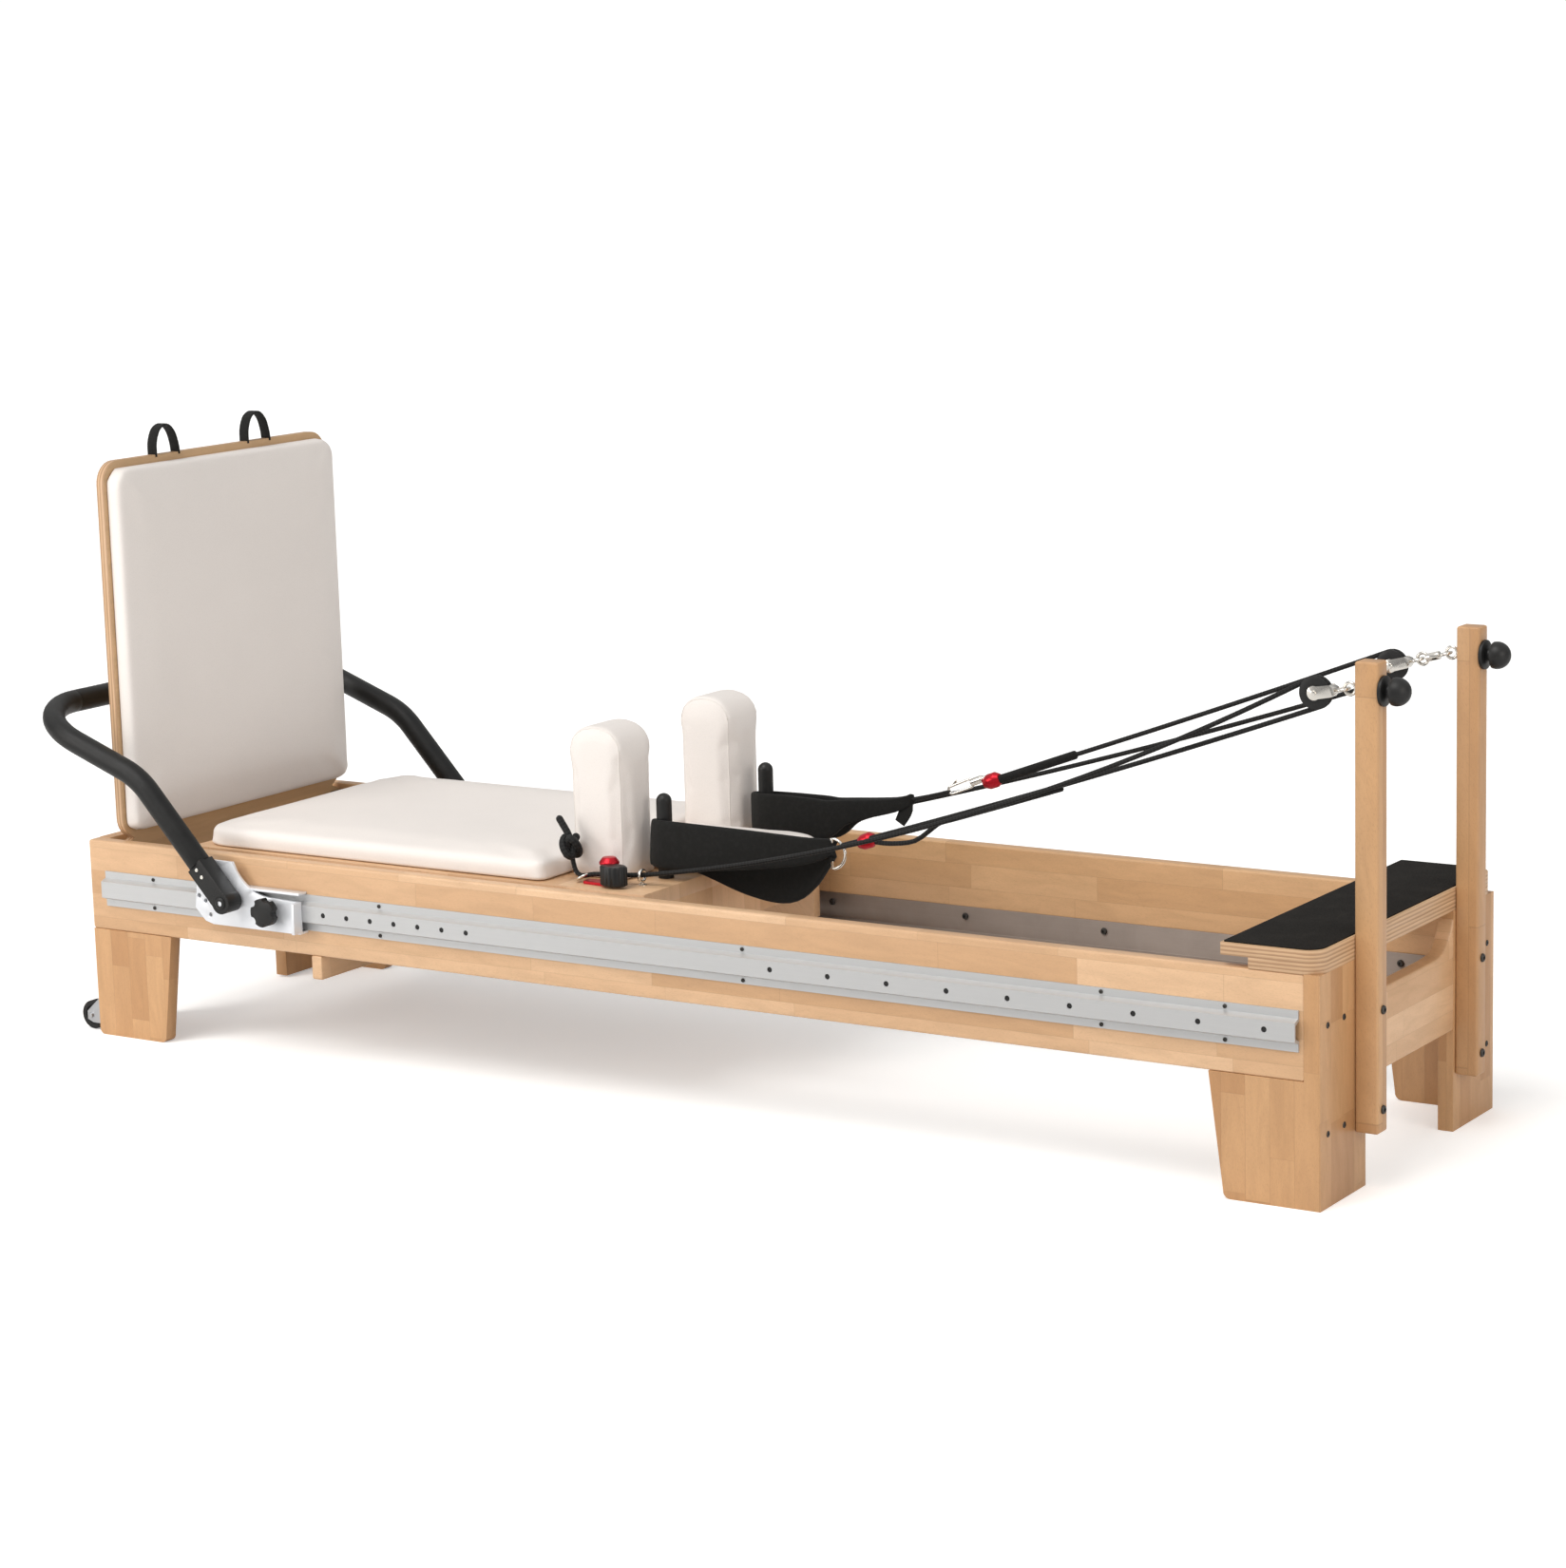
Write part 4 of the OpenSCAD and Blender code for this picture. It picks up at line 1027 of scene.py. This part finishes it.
def make_cleat(side):
    """A red base and cap, a toothed black cam, two rings and the rope's knotted tail."""
    far = side == "far"
    sign = 1 if far else -1

    def at(x, y, height):
        return place(x, sign * y, DECK_TOP / MM + height)

    corners = [at(x, y, 0) for x, y in ((1030, 236), (1034, 258), (1092, 262), (1104, 244), (1096, 230))]
    base = solid(fillet(corners, [r * MM for r in (5, 5, 12, 8, 8)], closed=True), Z * 5 * MM)
    cap = lathe(rounded_profile(((0.3, 0), (17, 0), (17, 5), (11, 13), (0.3, 14)), 3, closed=False), at(1080, 244, 34), Z, 32)
    stem = lathe([(0.3 * MM, 0), (9 * MM, 0), (9 * MM, 31 * MM), (0.3 * MM, 31 * MM)], at(1080, 244, 4), Z, 28)
    name = side + "_cleat_"
    made = add(name + "base", joined([base, cap, stem]), RED, "carriage",
               () if far else ("rope_cleats",))
    edge = made.modifiers.new("bevel", "BEVEL")
    edge.width, edge.segments, edge.angle_limit = 1 * MM, 2, math.radians(50)
    rings = []
    teeth, spot = 18, at(1096, 262, 4)
    for r, h in ((0.9, 0), (1.0, 2), (1.0, 31), (0.93, 33.5), (0.5, 34)):
        ring = []
        for k in range(teeth * 4):
            a = 2 * math.pi * k / (teeth * 4)
            reach = (15 + 3 * math.cos(a)) * r + (0.8 if k % 4 < 2 and r > 0.95 else 0)
            ring.append(spot + Vector((reach * math.cos(a) * MM * 1.6, reach * math.sin(a) * MM, h * MM)))
        rings.append(ring)
    add(name + "cam", loft(rings), BLACK, "carriage")
    circle = [2 * math.pi * k / 24 for k in range(24)]
    eye = [at(1132, 225 + 9.5 * math.cos(a), 16 + 9.5 * math.sin(a)) for a in circle]
    stalk = lathe([(0.3 * MM, 0), (7 * MM, 0), (7 * MM, 2 * MM), (3 * MM, 3.5 * MM), (3 * MM, 8 * MM), (0.3 * MM, 8.5 * MM)],
                  at(1132, 225, 0), Z, 20)
    tail_eye = [at(1026 + 10 * math.cos(a), 246 + 9 * math.sin(a), 9 + 5 * math.cos(a)) for a in circle]
    parts = [tube(eye, 2.8 * MM, 10, closed=True), stalk, tube(tail_eye, 2.4 * MM, 10, closed=True)]
    add(name + "rings", joined(parts), CHROME, "carriage")
    knot = []
    for k in range(60):
        a = 2 * math.pi * k / 60
        swing = 9.5 + 4.6 * math.cos(3 * a)
        knot.append(at(1002 + swing * math.cos(2 * a), 242 + swing * math.sin(2 * a), 58 + 15 * math.sin(3 * a)))
    run = curve([at(1136, 225, 18), at(1112, 232, 17), at(1080, 240, 16), at(1048, 243, 15), at(1026, 246, 11),
                 at(1012, 245, 18), at(1003, 242, 42)], 6 * MM)
    tip = curve([at(1002, 242, 66), at(994, 240, 80), at(985, 239, 92), at(978, 239, 102)], 5 * MM)
    parts = [tube(run, ROPE, 10), tube(knot, 6.6 * MM, 12, closed=True), tube(tip, 6 * MM, 10)]
    add(name + "rope_tail", joined(parts), CORD, "carriage")


def make_board_loops():
    """Two webbing loops on the top edge of the jump board."""
    low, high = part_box("jump_board_loops")
    x, foot = (low.x + high.x) / 2, low.z - 4 * MM
    for i, middle in enumerate((low.y + 32 * MM, high.y - 32 * MM)):
        points = []
        for y, z, width in ((-29, 0, 21), (-28, 26, 21), (-17, 48, 21), (3, 55, 21), (20, 42, 21), (29, 20, 21), (32, 0, 21)):
            point = Vector((x, middle + y * MM, foot + z * MM, width * MM))
            points.append(point)
        add(f"board_loop_{i + 1}", band(curve(points, 4 * MM), 3.2 * MM, X, crown=0.4, samples=16), WEBBING,
            "jump_board", ("jump_board_loops",) if i == 0 else ())


make_ropes()
make_straps()
make_fittings()
make_cleat("near")
make_cleat("far")
make_board_loops()

# ---------------------------------------------------------------- stage, light and camera

def area_light(name, place, target, size, power, colour=(1, 1, 1)):
    data = bpy.data.lights.new(name, "AREA")
    data.shape = "RECTANGLE"
    data.size, data.size_y = size
    data.energy = power
    data.color = colour
    made = bpy.data.objects.new(name, data)
    bpy.context.scene.collection.objects.link(made)
    made.location = place
    made.rotation_euler = (Vector(target) - Vector(place)).to_track_quat("-Z", "Y").to_euler()
    return made


def make_stage():
    """A white floor that runs into a white surround, under an even sky and one broad light from the near side."""
    g = Graph("pale_floor")
    cloud = g.noise(g.position(), 1.3, 3.0, 0.5)
    material = g.finish(colour=g.mix(cloud, (0.86, 0.86, 0.86), (0.90, 0.90, 0.895)), rough=0.8, specular=0.1)
    seen = g.node("LightPath").outputs["Is Camera Ray"]
    g.put(g.surface.inputs["Emission Color"], (1, 1, 1))
    g.put(g.surface.inputs["Emission Strength"], g.calc("MULTIPLY", seen, 0.34))
    mesh = bpy.data.meshes.new("floor")
    reach = 60.0
    mesh.from_pydata([(-reach, -reach, 0), (reach, -reach, 0), (reach, reach, 0), (-reach, reach, 0)], [], [(0, 1, 2, 3)])
    mesh.materials.append(material)
    floor = bpy.data.objects.new("floor", mesh)
    bpy.context.scene.collection.objects.link(floor)

    world = bpy.data.worlds.new("studio")
    bpy.context.scene.world = world
    world.use_nodes = True
    tree = world.node_tree
    back = tree.nodes["Background"]
    path = tree.nodes.new("ShaderNodeLightPath")
    facing = tree.nodes.new("ShaderNodeSeparateXYZ")
    tree.links.new(tree.nodes.new("ShaderNodeTexCoord").outputs["Generated"], facing.inputs[0])
    # reflections see a sky that darkens towards the horizon, so bright metal keeps its contrast
    sky = tree.nodes.new("ShaderNodeMapRange")
    for slot, value in ((1, 0.0), (2, 0.7), (3, 0.22), (4, 0.85)):
        sky.inputs[slot].default_value = value
    tree.links.new(facing.outputs[2], sky.inputs[0])
    even = tree.nodes.new("ShaderNodeMix")
    even.inputs[2].default_value = 0.5
    tree.links.new(path.outputs["Is Glossy Ray"], even.inputs[0])
    tree.links.new(sky.outputs[0], even.inputs[3])
    shown = tree.nodes.new("ShaderNodeMix")
    shown.inputs[3].default_value = 1.05
    tree.links.new(path.outputs["Is Camera Ray"], shown.inputs[0])
    tree.links.new(even.outputs[0], shown.inputs[2])
    tree.links.new(shown.outputs[0], back.inputs["Strength"])
    back.inputs["Color"].default_value = (1, 0.995, 0.985, 1)

    sun = bpy.data.lights.new("broad_light", "SUN")
    sun.energy = 1.6
    sun.angle = math.radians(35)
    sun.color = (1.0, 0.985, 0.96)
    made = bpy.data.objects.new("broad_light", sun)
    bpy.context.scene.collection.objects.link(made)
    made.rotation_euler = Vector((-0.12, -0.52, 0.84)).to_track_quat("Z", "Y").to_euler()
    area_light("foot_end_light", (-2.6, -2.9, 1.5), (-1.0, 0, 0.3), (1.6, 1.6), 42, (1.0, 0.97, 0.93))
    area_light("head_end_light", (4.4, -1.2, 1.7), (1.3, 0, 0.45), (1.8, 1.8), 36, (1.0, 0.95, 0.89))


def make_camera():
    """Stands at the head end's near corner and looks across the frame from a little above it."""
    azimuth, elevation, roll = math.radians(32.98), math.radians(10.56), math.radians(-1.63)
    distance, lens, target = 6.537, 89.75, Vector((FOOT_X + 1.2679, 0, 0.499))
    back = Vector((math.sin(azimuth) * math.cos(elevation), -math.cos(azimuth) * math.cos(elevation),
                   math.sin(elevation)))
    data = bpy.data.cameras.new("camera")
    data.lens = lens
    data.sensor_width = 36
    data.clip_end = 200
    made = bpy.data.objects.new("camera", data)
    bpy.context.scene.collection.objects.link(made)
    turn = back.to_track_quat("Z", "Y").to_matrix() @ Matrix.Rotation(roll, 3, "Z")
    made.matrix_world = Matrix.Translation(target + back * distance) @ turn.to_4x4()
    bpy.context.scene.camera = made


make_stage()
make_camera()
bpy.context.scene.view_settings.view_transform = "Standard"
